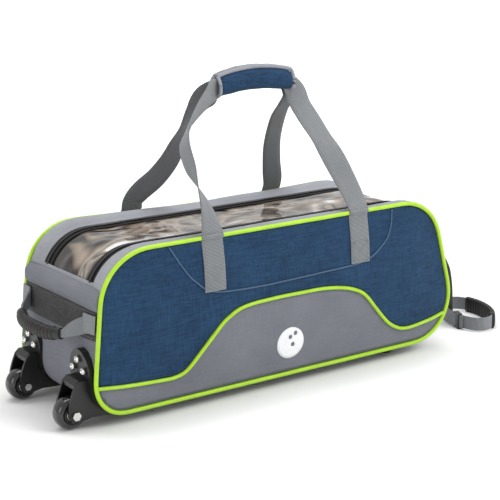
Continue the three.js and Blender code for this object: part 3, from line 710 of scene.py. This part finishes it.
def gusset():
    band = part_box("wheel_end_band")
    band_low, band_high = wheel_end(band[0].z), wheel_end(band[1].z)
    full_width = (-GUSSET_HALF, GUSSET_HALF)
    base_lo, base_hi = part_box("base_panel")
    panel_low = -base_lo.x

    def panel(s, y):
        wrinkle = 0.0015 * field_noise(s, y, 16, 16, 3.0)
        return end_swell(s, y, panel_low, band_low, 0.0035) + wrinkle - edge_drop(y)
    obj = sheet("wheel_end_skin", panel_low, band_low, *full_width, panel, GRAY, 0.0025, (70, 70))
    place(obj, "root", "gray_fabric", "wheel_end_panel")

    def flat_band(s, y):
        wrinkle = 0.0006 * field_noise(s, y, 30, 12, 1.0)
        return 0.0022 + end_swell(s, y, band_low - 0.04, band_high + 0.04, 0.005) + wrinkle - edge_drop(y)
    obj = sheet("wheel_end_band_skin", band_low - 0.001, band_high, *full_width, flat_band, BAND, 0.003,
                (30, 80))
    place(obj, "root", "dark_webbing", "wheel_end_band")

    roll_end = REAR_RUN + 0.006

    def roll(s, y):
        share = np.clip((s - band_high) / (roll_end - band_high), 0, 1)
        pads = 0.0072 * np.sin(np.pi * share) ** 0.55 * (1 + 0.25 * field_noise(s, y, 10, 26, 8.0))
        return 0.0035 - 0.0065 * share ** 2 + pads - edge_drop(y)
    obj = sheet("wheel_end_roll_skin", band_high - 0.002, roll_end, *full_width, roll, GRAY, 0.011, (40, 90))
    roll_low, roll_high = band[1].z + 0.0035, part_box("wheel_end_roll")[1].z - 0.003

    def sewn_down(co):
        return (co[:, 2] < roll_low) | (co[:, 2] > roll_high) | (np.abs(co[:, 1]) > GUSSET_HALF - 0.005)
    cushion(obj, sewn_down, 0.003, voxel=0.004)
    place(obj, "root", "gray_fabric", "wheel_end_roll")
    y = np.linspace(-0.112, 0.112, 120)
    for at, out, label in ((band_low + 0.003, 0.0052, "band_low"), (band_high - 0.003, 0.0058, "band_high"),
                           (band_high + 0.004, 0.0078, "roll_low")):
        flat, normal = on_outline(np.full_like(y, at), np.full_like(y, out) - edge_drop(y))
        path = np.stack([flat[:, 0], y, flat[:, 1]], 1)
        normals = np.stack([normal[:, 0], np.zeros_like(y), normal[:, 1]], 1)
        place(stitches(f"end_stitches_{label}", path, normals, THREAD), "root", "gray_fabric")

    low, high = strap_end(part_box("strap_end_panel")[1].z), TOTAL_RUN - base_hi.x

    def strap_panel(s, y):
        wrinkle = 0.0014 * field_noise(s, y, 14, 14, 7.0)
        return end_swell(s, y, low, high, 0.006) + wrinkle - edge_drop(y)
    obj = sheet("strap_end_skin", low, high, *full_width, strap_panel, GRAY, 0.0025, (60, 60))
    place(obj, "root", "gray_fabric", "strap_end_panel")

    xs, ys = np.linspace(base_lo.x, base_hi.x, 90), np.linspace(-GUSSET_HALF, GUSSET_HALF, 34)
    gx, gy = np.meshgrid(xs, ys, indexing="ij")
    under = -0.0012 * np.clip(1 - (gy / GUSSET_HALF) ** 6, 0, 1) + 0.0006 * field_noise(gx, gy, 12, 12, 2.0)
    layers = [np.stack([gx, gy, under + lift], -1).reshape(-1, 3) for lift in (0.0, 0.0028)]
    base = make("base_skin", np.vstack(layers), two_layer_faces(*gx.shape), GRAY, 60)
    place(base, "root", "gray_fabric", "base_panel")

    for side, sign in BOTH:
        edges = sorted((sign * GUSSET_HALF, sign * STRIP_INNER))

        def strip(s, y):
            share = (GUSSET_HALF - np.abs(y)) / (GUSSET_HALF - STRIP_INNER)
            ends = np.clip(np.minimum(s - REAR_RUN, ZIP_END_RUN + 0.02 - s) / 0.03, 0, 1)
            sag = 0.0025 * field_noise(s, y, 9, 20, 4.0 * sign) * np.sin(np.pi * np.clip(share, 0, 1))
            puff = STRIP_PUFF[side] * np.sin(np.pi * np.clip(share * 1.1, 0, 1)) ** 0.8 * ends
            return -0.0010 - 0.0028 * share ** 1.3 + puff + sag
        obj = sheet(f"gusset_strip_{side}_skin", REAR_RUN, low, *edges, strip, TRIM_GRAY_PAINTED_LIGHT, 0.002, (260, 16))
        place(obj, "root", "gray_fabric", f"gusset_strip_{side}")


# ---------------------------------------------------------------- zip, lid and window
TAPE_OUTSET = -0.0052
WINDOW_BULGE_RUN = run_where(0, 0.20, TOP_RUN, TOP_RUN + 0.3)


def tape_outset(s, y):
    return TAPE_OUTSET + 0.0006 * field_noise(s, y, 30, 5, 6.0)


def window_outset(s, y):
    """Loose vinyl: it sags between its tapes and ripples along its length."""
    across = np.clip(1 - (np.abs(y) / (WINDOW_HALF + 0.004)) ** 2, 0, 1)
    ripple = 0.0045 * field_noise(s, y, 15, 26, 11.0) + 0.0018 * field_noise(s, y, 44, 52, 2.0)
    bulge = 0.007 * np.exp(-((s - WINDOW_BULGE_RUN) / 0.07) ** 2)
    return TAPE_OUTSET - 0.0018 + across * (ripple + bulge - 0.0015)


def teeth(name, s0, s1, y, lean, body):
    """One half of a coil zip: a small bar for each tooth along the run."""
    pitch = 0.0032
    verts, faces = [], []
    for s in np.arange(s0, s1, pitch):
        flat, normal = on_outline(np.array([s]), np.array([TAPE_OUTSET + 0.0009]))
        centre = np.array([flat[0, 0], y + lean * 0.0009, flat[0, 1]])
        out = np.array([normal[0, 0], 0, normal[0, 1]])
        along = np.array([-normal[0, 1], 0, normal[0, 0]])
        base = len(verts)
        for w in (-1, 1):
            for u, v in ((-1, -1), (1, -1), (1, 1), (-1, 1)):
                verts.append(centre + along * u * 0.0008 + np.array([0, v * 0.0021, 0]) + out * w * 0.0010)
        for f in ((0, 1, 2, 3), (4, 7, 6, 5), (0, 4, 5, 1), (1, 5, 6, 2), (2, 6, 7, 3), (3, 7, 4, 0)):
            faces.append(tuple(base + k for k in f))
    return place(make(name, verts, faces, MOULDED, 30), body, "black_tape")


def tape(name, s0, s1, y0, y1, cells, body, replaced=(), outset=tape_outset, material=BLACK_TAPE,
         thickness=0.0012):
    place(sheet(name, s0, s1, y0, y1, outset, material, thickness, cells), body, "black_tape", *replaced)


def start_outset(s, y):
    return tape_outset(s, y) + 0.0015


def vinyl(name, s0, s1, cells, body, replaced):
    half = WINDOW_HALF + 0.003
    obj = sheet(name, s0, s1, -half, half, window_outset, VINYL, 0.0008, cells)
    place(obj, body, "window_vinyl", replaced)


def lid():
    gap = 0.0004
    outer = STRIP_INNER + 0.002
    zip_low = strap_end(0.1135)
    for side, sign in BOTH:
        line = sign * ZIP_LINE
        edges = sorted((sign * (ZIP_LINE + gap), sign * outer))
        tape(f"zip_tape_{side}_skin", REAR_RUN, zip_low, *edges, (260, 6), "root", ["zip_tape_gusset"])
        edges = sorted((sign * WINDOW_HALF, sign * (ZIP_LINE - gap)))
        tape(f"lid_tape_rear_{side}", REAR_RUN, CREASE_RUN, *edges, (200, 6), "root", ["lid_frame_rear"])
        tape(f"lid_tape_front_{side}", CREASE_RUN, ZIP_END_RUN, *edges, (120, 6), "lid", ["lid_frame_front"])
        teeth(f"zip_teeth_gusset_{side}", REAR_RUN + 0.01, ZIP_END_RUN, line, sign, "root")
        teeth(f"zip_teeth_rear_{side}", REAR_RUN + 0.0116, CREASE_RUN - 0.002, line, -sign, "root")
        teeth(f"zip_teeth_lid_{side}", CREASE_RUN + 0.002, ZIP_END_RUN, line, -sign, "lid")
    tape("zip_tape_end_skin", ZIP_END_RUN + gap, zip_low, -outer, outer, (8, 40), "root")
    tape("lid_tape_end", ZIP_END_RUN - 0.0115, ZIP_END_RUN - gap, -ZIP_LINE, ZIP_LINE, (8, 40), "lid")
    tape("lid_tape_start", REAR_RUN, REAR_RUN + 0.011, -outer, outer, (8, 40), "root",
         outset=start_outset, material=TRIM_GRAY_PAINTED_LIGHT, thickness=0.0016)
    vinyl("window_rear_sheet", REAR_RUN + 0.004, CREASE_RUN, (220, 46), "root", "window_rear")
    vinyl("window_front_sheet", CREASE_RUN, ZIP_END_RUN - 0.006, (110, 46), "lid", "window_front")


# ---------------------------------------------------------------- straps and padded grip
STRAP_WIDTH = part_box("strap_tab_near_wheel")[1].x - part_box("strap_tab_near_wheel")[0].x
GRIP_LO, GRIP_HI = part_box("grip_wrap")
GRIP_MIDDLE = (GRIP_LO.x + GRIP_HI.x) / 2
GRIP_HALF = (GRIP_HI.x - GRIP_LO.x) / 2
GRIP_RISE = 0.008


def rise(x):
    return GRIP_RISE * (1 - ((x - GRIP_MIDDLE) / GRIP_HALF) ** 2)


def tab(side, sign, place_name):
    node_name = f"strap_tab_{side}_{place_name}"
    lo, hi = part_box(node_name)
    x = (lo.x + hi.x) / 2
    zs = np.linspace(lo.z - 0.010, 0.2405, 8)
    ys = side_y(np.full_like(zs, x), zs, sign, 0.0013)
    centres = [(x, y, z) for y, z in zip(ys, zs)]
    centres += [(x, sign * 0.1245, 0.2455), (x, sign * 0.1225, 0.2505)]
    across = [(1, 0, 0)] * len(centres)
    obj = webbing(f"{node_name}_skin", centres, across, STRAP_WIDTH, 0.0019, WEBBING, 60)
    place(obj, "root", "webbing", node_name)
    half = STRAP_WIDTH / 2 - 0.0035
    low, high = lo.z - 0.006, lo.z + 0.026
    corners = [(x - half, low), (x + half, low), (x + half, high), (x - half, high), (x - half, low),
               (x + half, high), (x - half, high), (x + half, low)]
    row = catmull_corners(corners, 24)
    y = side_y(row[:, 0], row[:, 1], sign, 0.0026)
    path = np.stack([row[:, 0], y, row[:, 1]], 1)
    normals = np.tile((0, sign, 0), (len(path), 1))
    place(stitches(f"{node_name}_box_stitch", path, normals, THREAD, 0.003, 0.0022), "root", "webbing")


def catmull_corners(corners, steps):
    points = [np.linspace(a, b, steps) for a, b in zip(np.array(corners[:-1]), np.array(corners[1:]))]
    return np.vstack(points)


STRAP_LEGS = {
    "near": (
        [(-149, -122, 249, 1, 0, 0), (-152, -114, 283, 0.85, 0.5, 0), (-160, -104, 317, 0.5, 0.86, 0),
         (-166, -92, 348, 0.1, 0.97, -0.2), (-166, -76, 381, 0.1, 0.9, -0.4),
         (-150, -60, 403, 0.2, 0.75, -0.6), (-122, -42, 422, 0.1, 0.5, -0.85),
         (-92, -24, 438, 0, 0.25, -0.97), (-70, -9, 448, 0, 0, -1)],
        [(92, -6, 433, -0.8, 0, -0.6), (95, -15, 414, -0.95, 0, -0.3), (99, -36, 390, -0.95, 0, -0.3),
         (105, -60, 362, -0.95, -0.1, -0.3), (112, -82, 332, -0.95, 0.25, -0.3),
         (123, -99, 297, -0.95, 0.1, -0.3), (132, -113, 266, -1, 0, -0.1), (133, -122, 249, -1, 0, 0)],
    ),
    "far": (
        [(-149, 121, 250, 1, 0, 0), (-149, 116, 266, 1, 0, 0), (-136, 110, 281, 0.9, 0, -0.4),
         (-113, 100, 300, 0.85, 0, -0.5), (-96, 86, 326, 0.95, 0, -0.3), (-88, 71, 356, 0.9, 0.3, -0.3),
         (-80, 54, 388, 0.75, 0.6, -0.3), (-75, 30, 417, 0.7, 0.4, -0.6), (-69, 8, 440, 0.4, 0, -0.9)],
        [(92, 5.5, 434, -0.8, 0, -0.6), (94, 20, 414, -0.95, 0, -0.3), (98, 48, 388, -0.95, 0, -0.3),
         (107, 80, 340, -0.95, 0, -0.3), (121, 103, 295, -1, 0, -0.2), (132, 116, 266, -1, 0, 0),
         (132, 121, 250, -1, 0, 0)],
    ),
}
WRAP_WEB_Z, WRAP_WEB_WIDTH = 0.450, 0.027


def carry_strap(side, sign):
    wheel_leg, front_leg = STRAP_LEGS[side]
    stations = [((x * MM, y * MM, z * MM), across, STRAP_WIDTH) for x, y, z, *across in wheel_leg]
    stations += [((x, sign * 0.0045, WRAP_WEB_Z + rise(x)), (0, 0, -1), WRAP_WEB_WIDTH)
                 for x in (-0.050, -0.012, 0.026, 0.060, 0.078)]
    stations += [((x * MM, y * MM, z * MM), across, STRAP_WIDTH) for x, y, z, *across in front_leg]
    centres, across, widths = zip(*stations)
    # The far strap takes the darker copy of the webbing: painted shade.
    material = WEBBING if side == "near" else FAR_WEBBING_PAINTED_SHADE
    obj = webbing(f"carry_strap_{side}_skin", centres, across, widths, 0.0019, material, 420)
    place(obj, "root", "webbing", f"carry_strap_{side}")
    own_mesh(obj)


def pad_path(count):
    """Section of the folded pad in Y and Z, from the near top edge down round the fold to the far one."""
    half, low, high = 0.0125, GRIP_LO.z + 0.006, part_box("grip_flap")[1].z - GRIP_RISE
    near = [(-0.0050, high + 0.001), (-0.0095, high - 0.004), (-half, high - 0.011),
            (-half - 0.0005, (low + high) / 2), (-half, low + 0.007)]
    bottom = [(-half * 0.75, low + 0.001), (0.0, low - 0.003), (half * 0.75, low + 0.001)]
    far = [(y * -1, z) for y, z in reversed(near)]
    return catmull(near + bottom + far, count)


def padded_grip():
    around, along = 46, 60
    section = pad_path(around)
    tangent = unit(np.gradient(section, axis=0))
    outward = np.stack([tangent[:, 1], -tangent[:, 0]], 1)
    xs = np.linspace(GRIP_MIDDLE - GRIP_HALF - 0.002, GRIP_MIDDLE + GRIP_HALF + 0.002, along)
    share = np.linspace(-1, 1, along)
    rings = []
    thickness = 0.0065
    for x, t in zip(xs, share):
        puff = 0.0022 * (1 - t ** 6)
        wrinkle = np.array([noise.noise(Vector((x * 45, k * 0.22, 3.0))) for k in range(around)]) * 0.0013
        outer = section + outward * (puff + wrinkle)[:, None]
        inner = section - outward * thickness * 0.62
        ring = np.vstack([outer, inner[::-1]])
        rings.append(np.column_stack([np.full(len(ring), x), ring[:, 0], ring[:, 1] + rise(x)]))
    pad = loft("grip_pad", rings, BLUE, angle=70)

    def bound(co):
        top = section[:, 1].max() + rise(co[:, 0])
        return (np.abs(co[:, 0] - GRIP_MIDDLE) > GRIP_HALF - 0.006) | (co[:, 2] > top - 0.006)
    cushion(pad, bound, 0.0035, voxel=0.004)
    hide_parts("grip_wrap", "grip_flap")
    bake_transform(pad)
    bindings = []
    for end in (0, along - 1):
        path = np.array(rings[end])[:around]
        path[:, 0] += 0.0006 if end else -0.0006
        bindings.append((f"grip_binding_end_{'wheel' if end == 0 else 'strap'}", path, 0.0030))
    for k, label in ((0, "near"), (around - 1, "far")):
        path = np.array([ring[k] for ring in rings])
        path[:, 2] += 0.0006
        bindings.append((f"grip_binding_top_{label}", path, 0.0032))
    for name, path, radius in bindings:
        obj = cord(name, path, radius, TRIM_GRAY_PAINTED_LIGHT, 10)
        if name.endswith("near"):
            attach(obj, "grip_flap")
        elif name.endswith("far"):
            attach(obj, "carry_grip")
        else:
            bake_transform(obj)


# ---------------------------------------------------------------- grab handle over the wheels
def grab_handle():
    stations = [(-0.350, -0.100, 0.139), (-0.3545, -0.091, 0.137), (-0.367, -0.080, 0.131),
                (-0.381, -0.067, 0.123), (-0.391, -0.036, 0.120), (-0.395, 0.0, 0.121)]
    stations += [(x, -y, z) for x, y, z in reversed(stations[:-1])]
    across = [(0.1, 0.0, 1.0)] * len(stations)
    widths = [0.026, 0.026, 0.022, 0.012, 0.009, 0.009, 0.009, 0.012, 0.022, 0.026, 0.026]
    for side, sign in BOTH:
        half = [s if sign < 0 else (s[0], -s[1], s[2]) for s in stations[:6]]
        obj = webbing(f"grab_webbing_{side}", half, across[:6], widths[:6], 0.0030, WEBBING, 90)
        if side == "near":
            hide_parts("grab_webbing")
        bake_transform(obj)
    path = catmull(stations[3:8], 160)
    run = distances(path)
    share = np.linspace(-1, 1, 160)
    inside = np.abs(share) < 0.80
    ridge = np.where(inside, 0.0011 * (0.5 + 0.5 * np.sign(np.sin(2 * math.pi * run / 0.0072))), 0.0)
    radius = 0.0075 + ridge + 0.0012 * (1 - share ** 2)
    along = unit(np.gradient(path, axis=0))
    up = unit(np.cross(np.cross(along, (0, 0, 1.0)), along))
    side_way = unit(np.cross(along, up))
    angles = np.linspace(0, 2 * math.pi, 28, endpoint=False)
    rings = [p + r * (np.outer(np.cos(angles), a) * 1.0 + np.outer(np.sin(angles), b) * 1.15)
             for p, r, a, b in zip(path, radius, side_way, up)]
    place(loft("grab_rubber", rings, RUBBER, angle=35), "grab_handle", "rubber", "grab_grip")
    for side, sign in BOTH:
        node_name = f"grab_loop_{side}"
        lo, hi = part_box(node_name)
        y_out, y_in = sign * 0.1163, sign * 0.088
        s0, s1 = wheel_end(lo.z + 0.003), wheel_end(hi.z - 0.002)
        edges = sorted((y_out, y_in))

        def patch(s, y):
            inward = 1 - (np.abs(y) - 0.088) / 0.029
            return 0.0072 + end_swell(s, y, s0 - 0.05, s1 + 0.05, 0.0015) + 0.0022 * inward
        obj = sheet(f"{node_name}_skin", s0, s1, *edges, patch, WEBBING, 0.0022, (24, 18))
        place(obj, "root", "webbing", node_name)


# ---------------------------------------------------------------- pull strap and rubber loop
LOOP_LO, LOOP_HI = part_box("loop_webbing")
LOOP_TURN = math.atan2(0.94, 0.35)
LOOP_LONG, LOOP_SHORT = 0.072, 0.037
LOOP_CENTRE = np.array((LOOP_LO + LOOP_HI) / 2)
LOOP_HEIGHT = LOOP_HI.z - LOOP_LO.z


def loop_point(angle, grow=0.0):
    u, v = (LOOP_LONG + grow) * np.cos(angle), (LOOP_SHORT + grow) * np.sin(angle)
    c, s = math.cos(LOOP_TURN), math.sin(LOOP_TURN)
    offset = np.stack([c * u - s * v, s * u + c * v, np.zeros_like(u)], -1)
    return LOOP_CENTRE + offset


def pull_strap():
    stations = [(0.3395, 0, 0.078), (0.3345, 0, 0.100), (0.341, 0, 0.116), (0.360, 0, 0.1235),
                (0.386, -0.001, 0.1235), (0.412, -0.002, 0.112), (0.431, -0.003, 0.084),
                (0.439, -0.003, 0.048), (0.440, -0.004, 0.014), (0.440, -0.005, -0.006)]
    obj = webbing("pull_strap_skin", stations, [(0, 1, 0)] * len(stations), 0.026, 0.0022, DARK_WEBBING, 140)
    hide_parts("pull_webbing")
    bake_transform(obj)
    place(NODES["pull_anchor_patch"], None, "black_tape")
    angles = np.linspace(0, 2 * math.pi, 240, endpoint=False)
    path = loop_point(angles)
    along = unit(np.roll(path, -1, 0) - np.roll(path, 1, 0))
    normal = unit(np.cross(along, (0, 0, 1.0)))
    tall, deep = STRAP_SECTION.T * np.array([[LOOP_HEIGHT], [0.0024]])
    rings = [p + np.outer(tall, (0, 0, 1.0)) + np.outer(deep, n) for p, n in zip(path, normal)]
    ring = loft("loop_strap_skin", rings, WEBBING, closed=True, run=distances(path))
    place(ring, "pull_loop", "webbing", "loop_webbing")
    steps = 150
    arc = np.linspace(math.radians(-142), math.radians(-38), steps)
    path = loop_point(arc)
    run = distances(path)
    along = unit(np.gradient(path, axis=0))
    normal = unit(np.cross(along, (0, 0, 1.0)))
    share = np.linspace(-1, 1, steps)
    ridge = np.where(np.abs(share) < 0.86, 0.0009 * np.sign(np.sin(2 * math.pi * run / 0.0075)), 0.0008)
    angles = np.linspace(0, 2 * math.pi, 32, endpoint=False)
    half_height, half_thick = LOOP_HEIGHT / 2 + 0.0018, 0.0052
    rings = []
    for p, n, r in zip(path, normal, ridge):
        c, s = np.cos(angles), np.sin(angles)
        wide = np.sign(c) * np.abs(c) ** 0.55 * (half_thick + r)
        tall = np.sign(s) * np.abs(s) ** 0.55 * (half_height + r * 0.4)
        rings.append(p + np.outer(wide, n) + np.outer(tall, (0, 0, 1.0)))
    place(loft("loop_rubber", rings, RUBBER, angle=35), "pull_loop", "rubber", "loop_grip")
    folded = loop_point(np.linspace(math.radians(55), math.radians(140), 60), 0.0034)
    folded = folded[::6]
    across = [(0, 0, 1)] * len(folded)
    obj = webbing("loop_fold_back", folded, across, LOOP_HEIGHT * 0.98, 0.0024, WEBBING, 90)
    place(obj, "pull_loop", "webbing")


# ---------------------------------------------------------------- wheels, rivets and hardware
def turned(name, profile, centre, material, body, slot, replaced=(), steps=72):
    """A turned part about an axle that runs along Y. Profile pairs are radius and distance along it."""
    angles = np.linspace(0, 2 * math.pi, steps, endpoint=False)
    radius, along = np.asarray(profile, float).T
    rings = [centre + np.stack([radius * math.cos(a), along, radius * math.sin(a)], 1) for a in angles]
    return place(loft(name, rings, material, closed=True, angle=40), body, slot, *replaced)


# Pairs of radius and distance from the middle of the hub.
HUB_TRIM = [(0.0084, 0.0135), (0.0096, 0.0131), (0.0102, 0.0139), (0.0094, 0.0145), (0.0086, 0.0143)]
# Each rivet's distance from the wheel's middle plane, its height and how far the bracket stands out there.
RIVETS = [(0.0, 0.084, 0.0107), (-0.016, 0.069, 0.0086), (0.016, 0.069, 0.0086)]


def wheels():
    for side, sign in BOTH:
        lo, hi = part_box(f"tyre_{side}")
        centre = np.array((lo + hi) / 2)
        radius, half = (hi.x - lo.x) / 2, (hi.y - lo.y) / 2
        crown = [(radius - 0.0065 * (abs(t) ** 3.2), t * half) for t in np.linspace(-1, 1, 17)]
        tyre = [(0.0152, -half + 0.0012), (0.0170, -half)] + crown + [(0.0170, half), (0.0152, half - 0.0012)]
        turned(f"tyre_{side}_turned", tyre, centre, TYRE, f"wheel_{side}", "rubber", (f"tyre_{side}",))
        rim = [(0.0046, -0.0155), (0.0078, -0.0155), (0.0086, -0.0128), (0.0120, -0.0118), (0.0132, -0.0136),
               (0.0148, -0.0134), (0.0149, -0.0100)]
        rim += [(r, -y) for r, y in reversed(rim)]
        turned(f"hub_{side}_turned", rim, centre, MOULDED, f"wheel_{side}", "moulded_plastic",
               (f"hub_{side}",))
        for face in (-1, 1):
            disc = [(radius, face * out) for radius, out in HUB_TRIM]
            label = "outer" if face == sign else "inner"
            turned(f"hub_trim_{side}_{label}", disc, centre, STEEL, f"wheel_{side}", "steel")
        for index, (dy, z, outset) in enumerate(RIVETS):
            flat, _ = on_outline(np.array([wheel_end(z)]), np.array([outset]))
            rivet_head(f"rivet_{side}_{index}", (flat[0, 0] - 0.0026, centre[1] + dy, z))


def rivet_head(name, centre):
    """A domed tubular rivet head with a dimple, facing the wheel end."""
    profile = [(0.0012, 0.0005), (0.0019, 0.0012), (0.0030, 0.0024), (0.0046, 0.0019), (0.0057, 0.0006),
               (0.0058, -0.0008)]
    around, steps = len(profile), 32
    x, y, z = centre
    verts = [(x - out, y + r * math.cos(a), z + r * math.sin(a))
             for a in np.linspace(0, 2 * math.pi, steps, endpoint=False) for r, out in profile]
    faces = []
    for i in range(steps):
        here, there = i * around, ((i + 1) % steps) * around
        faces += [(here + k, here + k + 1, there + k + 1, there + k) for k in range(around - 1)]
    faces.append(tuple(i * around for i in range(steps)))
    faces.append(tuple(i * around + around - 1 for i in reversed(range(steps))))
    place(make(name, verts, faces, STEEL, 35), "root", "steel")


def emblem():
    """A printed ball disc with three finger holes, lying on the fabric."""
    lo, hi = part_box("ball_emblem")
    centre, radius = ((lo.x + hi.x) / 2, (lo.z + hi.z) / 2), (hi.x - lo.x) / 2
    holes = [(centre[0] + dx * MM, centre[1] + dz * MM) for dx, dz in ((-1, 10), (9, 15), (4, -3))]
    bm = bmesh.new()
    rim = [bm.verts.new((centre[0] + radius * math.cos(a), 0, centre[1] + radius * math.sin(a)))
           for a in np.linspace(0, 2 * math.pi, 72, endpoint=False)]
    edges = [bm.edges.new((rim[i], rim[(i + 1) % 72])) for i in range(72)]
    for hx, hz in holes:
        ring = [bm.verts.new((hx + 0.0036 * math.cos(a), 0, hz + 0.0036 * math.sin(a)))
                for a in np.linspace(0, 2 * math.pi, 20, endpoint=False)]
        edges += [bm.edges.new((ring[i], ring[(i + 1) % 20])) for i in range(20)]
    bmesh.ops.triangle_fill(bm, edges=edges, use_beauty=True)
    long_edges = [e for e in bm.edges if e.calc_length() > 0.006]
    bmesh.ops.subdivide_edges(bm, edges=long_edges, cuts=3, use_grid_fill=True)
    co = np.array([v.co for v in bm.verts])
    for vertex, y in zip(bm.verts, side_y(co[:, 0], co[:, 2], -1.0, 0.0007)):
        vertex.co.y = y
    mesh = bpy.data.meshes.new("emblem_print")
    bm.to_mesh(mesh)
    bm.free()
    obj = finish_mesh("emblem_print", mesh, PRINT)
    thick = obj.modifiers.new("thickness", "SOLIDIFY")
    thick.thickness = 0.0005
    place(obj, "root", "print", "ball_emblem")


def dress_cad(name, material, bevel=0.0):
    obj = NODES[name]
    obj.data.materials.clear()
    obj.data.materials.append(material)
    if bevel:
        soft = obj.modifiers.new("edges", "BEVEL")
        soft.width = bevel
        soft.segments = 2
        soft.limit_method = "ANGLE"
        soft.angle_limit = math.radians(35)
        soft.harden_normals = False


def hardware():
    for side, _ in BOTH:
        dress_cad(f"wheel_housing_{side}", MOULDED, 0.0007)
        dress_cad(f"axle_bolt_{side}", STEEL, 0.0005)
        dress_cad(f"rivet_set_{side}", STEEL)
        dress_cad(f"skid_foot_{side}", RUBBER, 0.0006)
        dress_cad(f"side_stiffener_{side}", FOAM)
    dress_cad("base_board", BOARD)
    dress_cad("ball_cradle", FOAM)
    dress_cad("pull_anchor_patch", BLACK_TAPE)
    dress_cad("zip_slider", STEEL, 0.0007)
    dress_cad("zip_pull_tab", MOULDED, 0.0005)
    dress_cad("tri_glide", MOULDED, 0.0007)


FAR_SAG = 0.0065


def sag_far_side(obj):
    """Lets the far top edge hang a little between its ends, as an unloaded soft side does."""
    mesh = obj.data
    co = np.empty(len(mesh.vertices) * 3, np.float32)
    mesh.vertices.foreach_get("co", co)
    co = co.reshape(-1, 3)
    x, y, z = co.T
    across = np.clip((y - 0.078) / 0.036, 0, 1)
    along = np.clip(1 - (x / 0.29) ** 2, 0, 1) ** 1.5
    up = np.clip((z - 0.13) / 0.10, 0, 1) * np.clip((0.34 - z) / 0.08, 0, 1)
    co[:, 2] -= FAR_SAG * across * along * up
    mesh.vertices.foreach_set("co", co.ravel())


# ---------------------------------------------------------------- build the pieces
for side_name, side_sign in BOTH:
    side_panel(side_name, side_sign, "upper", BLUE, "blue_fabric")
    side_panel(side_name, side_sign, "lower", GRAY, "gray_fabric")
    side_trim(side_name, side_sign)
    rim_cord(side_name, side_sign)
    tab(side_name, side_sign, "wheel")
    tab(side_name, side_sign, "front")
    carry_strap(side_name, side_sign)
gusset()
lid()
padded_grip()
grab_handle()
pull_strap()
wheels()
emblem()
hardware()
for piece in bpy.context.scene.objects:
    if piece.type == "MESH" and piece.name not in NODES:
        sag_far_side(piece)


# ---------------------------------------------------------------- stage, light and camera
def area_light(name, location, target, size, energy, color=(1, 1, 1)):
    data = bpy.data.lights.new(name, "AREA")
    data.shape = "RECTANGLE"
    data.size, data.size_y = size
    data.energy = energy
    data.color = color
    lamp = bpy.data.objects.new(name, data)
    bpy.context.scene.collection.objects.link(lamp)
    lamp.location = location
    lamp.rotation_euler = (Vector(target) - Vector(location)).to_track_quat("-Z", "Y").to_euler()


FLOOR_HALF = 14.0


def stage():
    floor_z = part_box("tyre_near")[0].z - 0.0004
    size = FLOOR_HALF
    mesh = bpy.data.meshes.new("floor")
    corners = [(x * size, y * size, floor_z) for x, y in ((-1, -1), (1, -1), (1, 1), (-1, 1))]
    mesh.from_pydata(corners, [], [(0, 1, 2, 3)])
    floor = bpy.data.objects.new("floor", mesh)
    bpy.context.scene.collection.objects.link(floor)
    material, tree, shader = new_material("pale_floor")
    shader.inputs["Base Color"].default_value = (0.93, 0.93, 0.93, 1)
    shader.inputs["Roughness"].default_value = 0.9
    place_xyz = node(tree, "ShaderNodeTexCoord").outputs["Object"]
    away = node(tree, "ShaderNodeVectorMath", {0: place_xyz}, operation="LENGTH")
    far_glow = node(tree, "ShaderNodeMapRange", {
        "Value": away.outputs["Value"], "From Min": 0.9, "From Max": 3.5, "To Min": 0.0, "To Max": 0.8})
    shader.inputs["Emission Color"].default_value = (1, 1, 1, 1)
    tree.links.new(far_glow.outputs["Result"], shader.inputs["Emission Strength"])
    mesh.materials.append(material)
    world = bpy.data.worlds.new("studio")
    bpy.context.scene.world = world
    world.use_nodes = True
    background = world.node_tree.nodes["Background"]
    background.inputs["Color"].default_value = (1.0, 1.0, 1.0, 1)
    light_path = node(world.node_tree, "ShaderNodeLightPath")
    seen = maths(world.node_tree, "MULTIPLY", light_path.outputs["Is Camera Ray"], 0.45)
    world.node_tree.links.new(maths(world.node_tree, "ADD", seen, 0.72), background.inputs["Strength"])
    area_light("key", (1.6, -2.4, 2.6), (0, 0, 0.12), (1.6, 1.6), 60)
    area_light("top", (0.1, 0.4, 2.6), (0, 0, 0.2), (2.4, 0.7), 34)
    area_light("wheel_side", (-2.6, -0.6, 0.9), (-0.3, 0, 0.1), (0.8, 1.2), 9, (1.0, 0.98, 0.95))
    bpy.context.scene.view_settings.view_transform = "Standard"


def camera():
    azimuth, elevation, roll = math.radians(-34.431), math.radians(13.971), math.radians(-0.822)
    level = math.cos(elevation)
    back = Vector((math.sin(azimuth) * level, -math.cos(azimuth) * level, math.sin(elevation)))
    right = Vector((math.cos(azimuth), math.sin(azimuth), 0))
    up = back.cross(right)
    level_right = right * math.cos(roll) + up * math.sin(roll)
    level_up = up * math.cos(roll) - right * math.sin(roll)
    data = bpy.data.cameras.new("camera")
    cam = bpy.data.objects.new("camera", data)
    bpy.context.scene.collection.objects.link(cam)
    data.sensor_width = 36.0
    data.lens = 100.9
    position = Vector((0.0028, 0.0, 0.1777)) + back * 2.308
    cam.matrix_world = Matrix((
        (level_right.x, level_up.x, back.x, position.x),
        (level_right.y, level_up.y, back.y, position.y),
        (level_right.z, level_up.z, back.z, position.z),
        (0, 0, 0, 1),
    ))
    bpy.context.scene.camera = cam


stage()
camera()
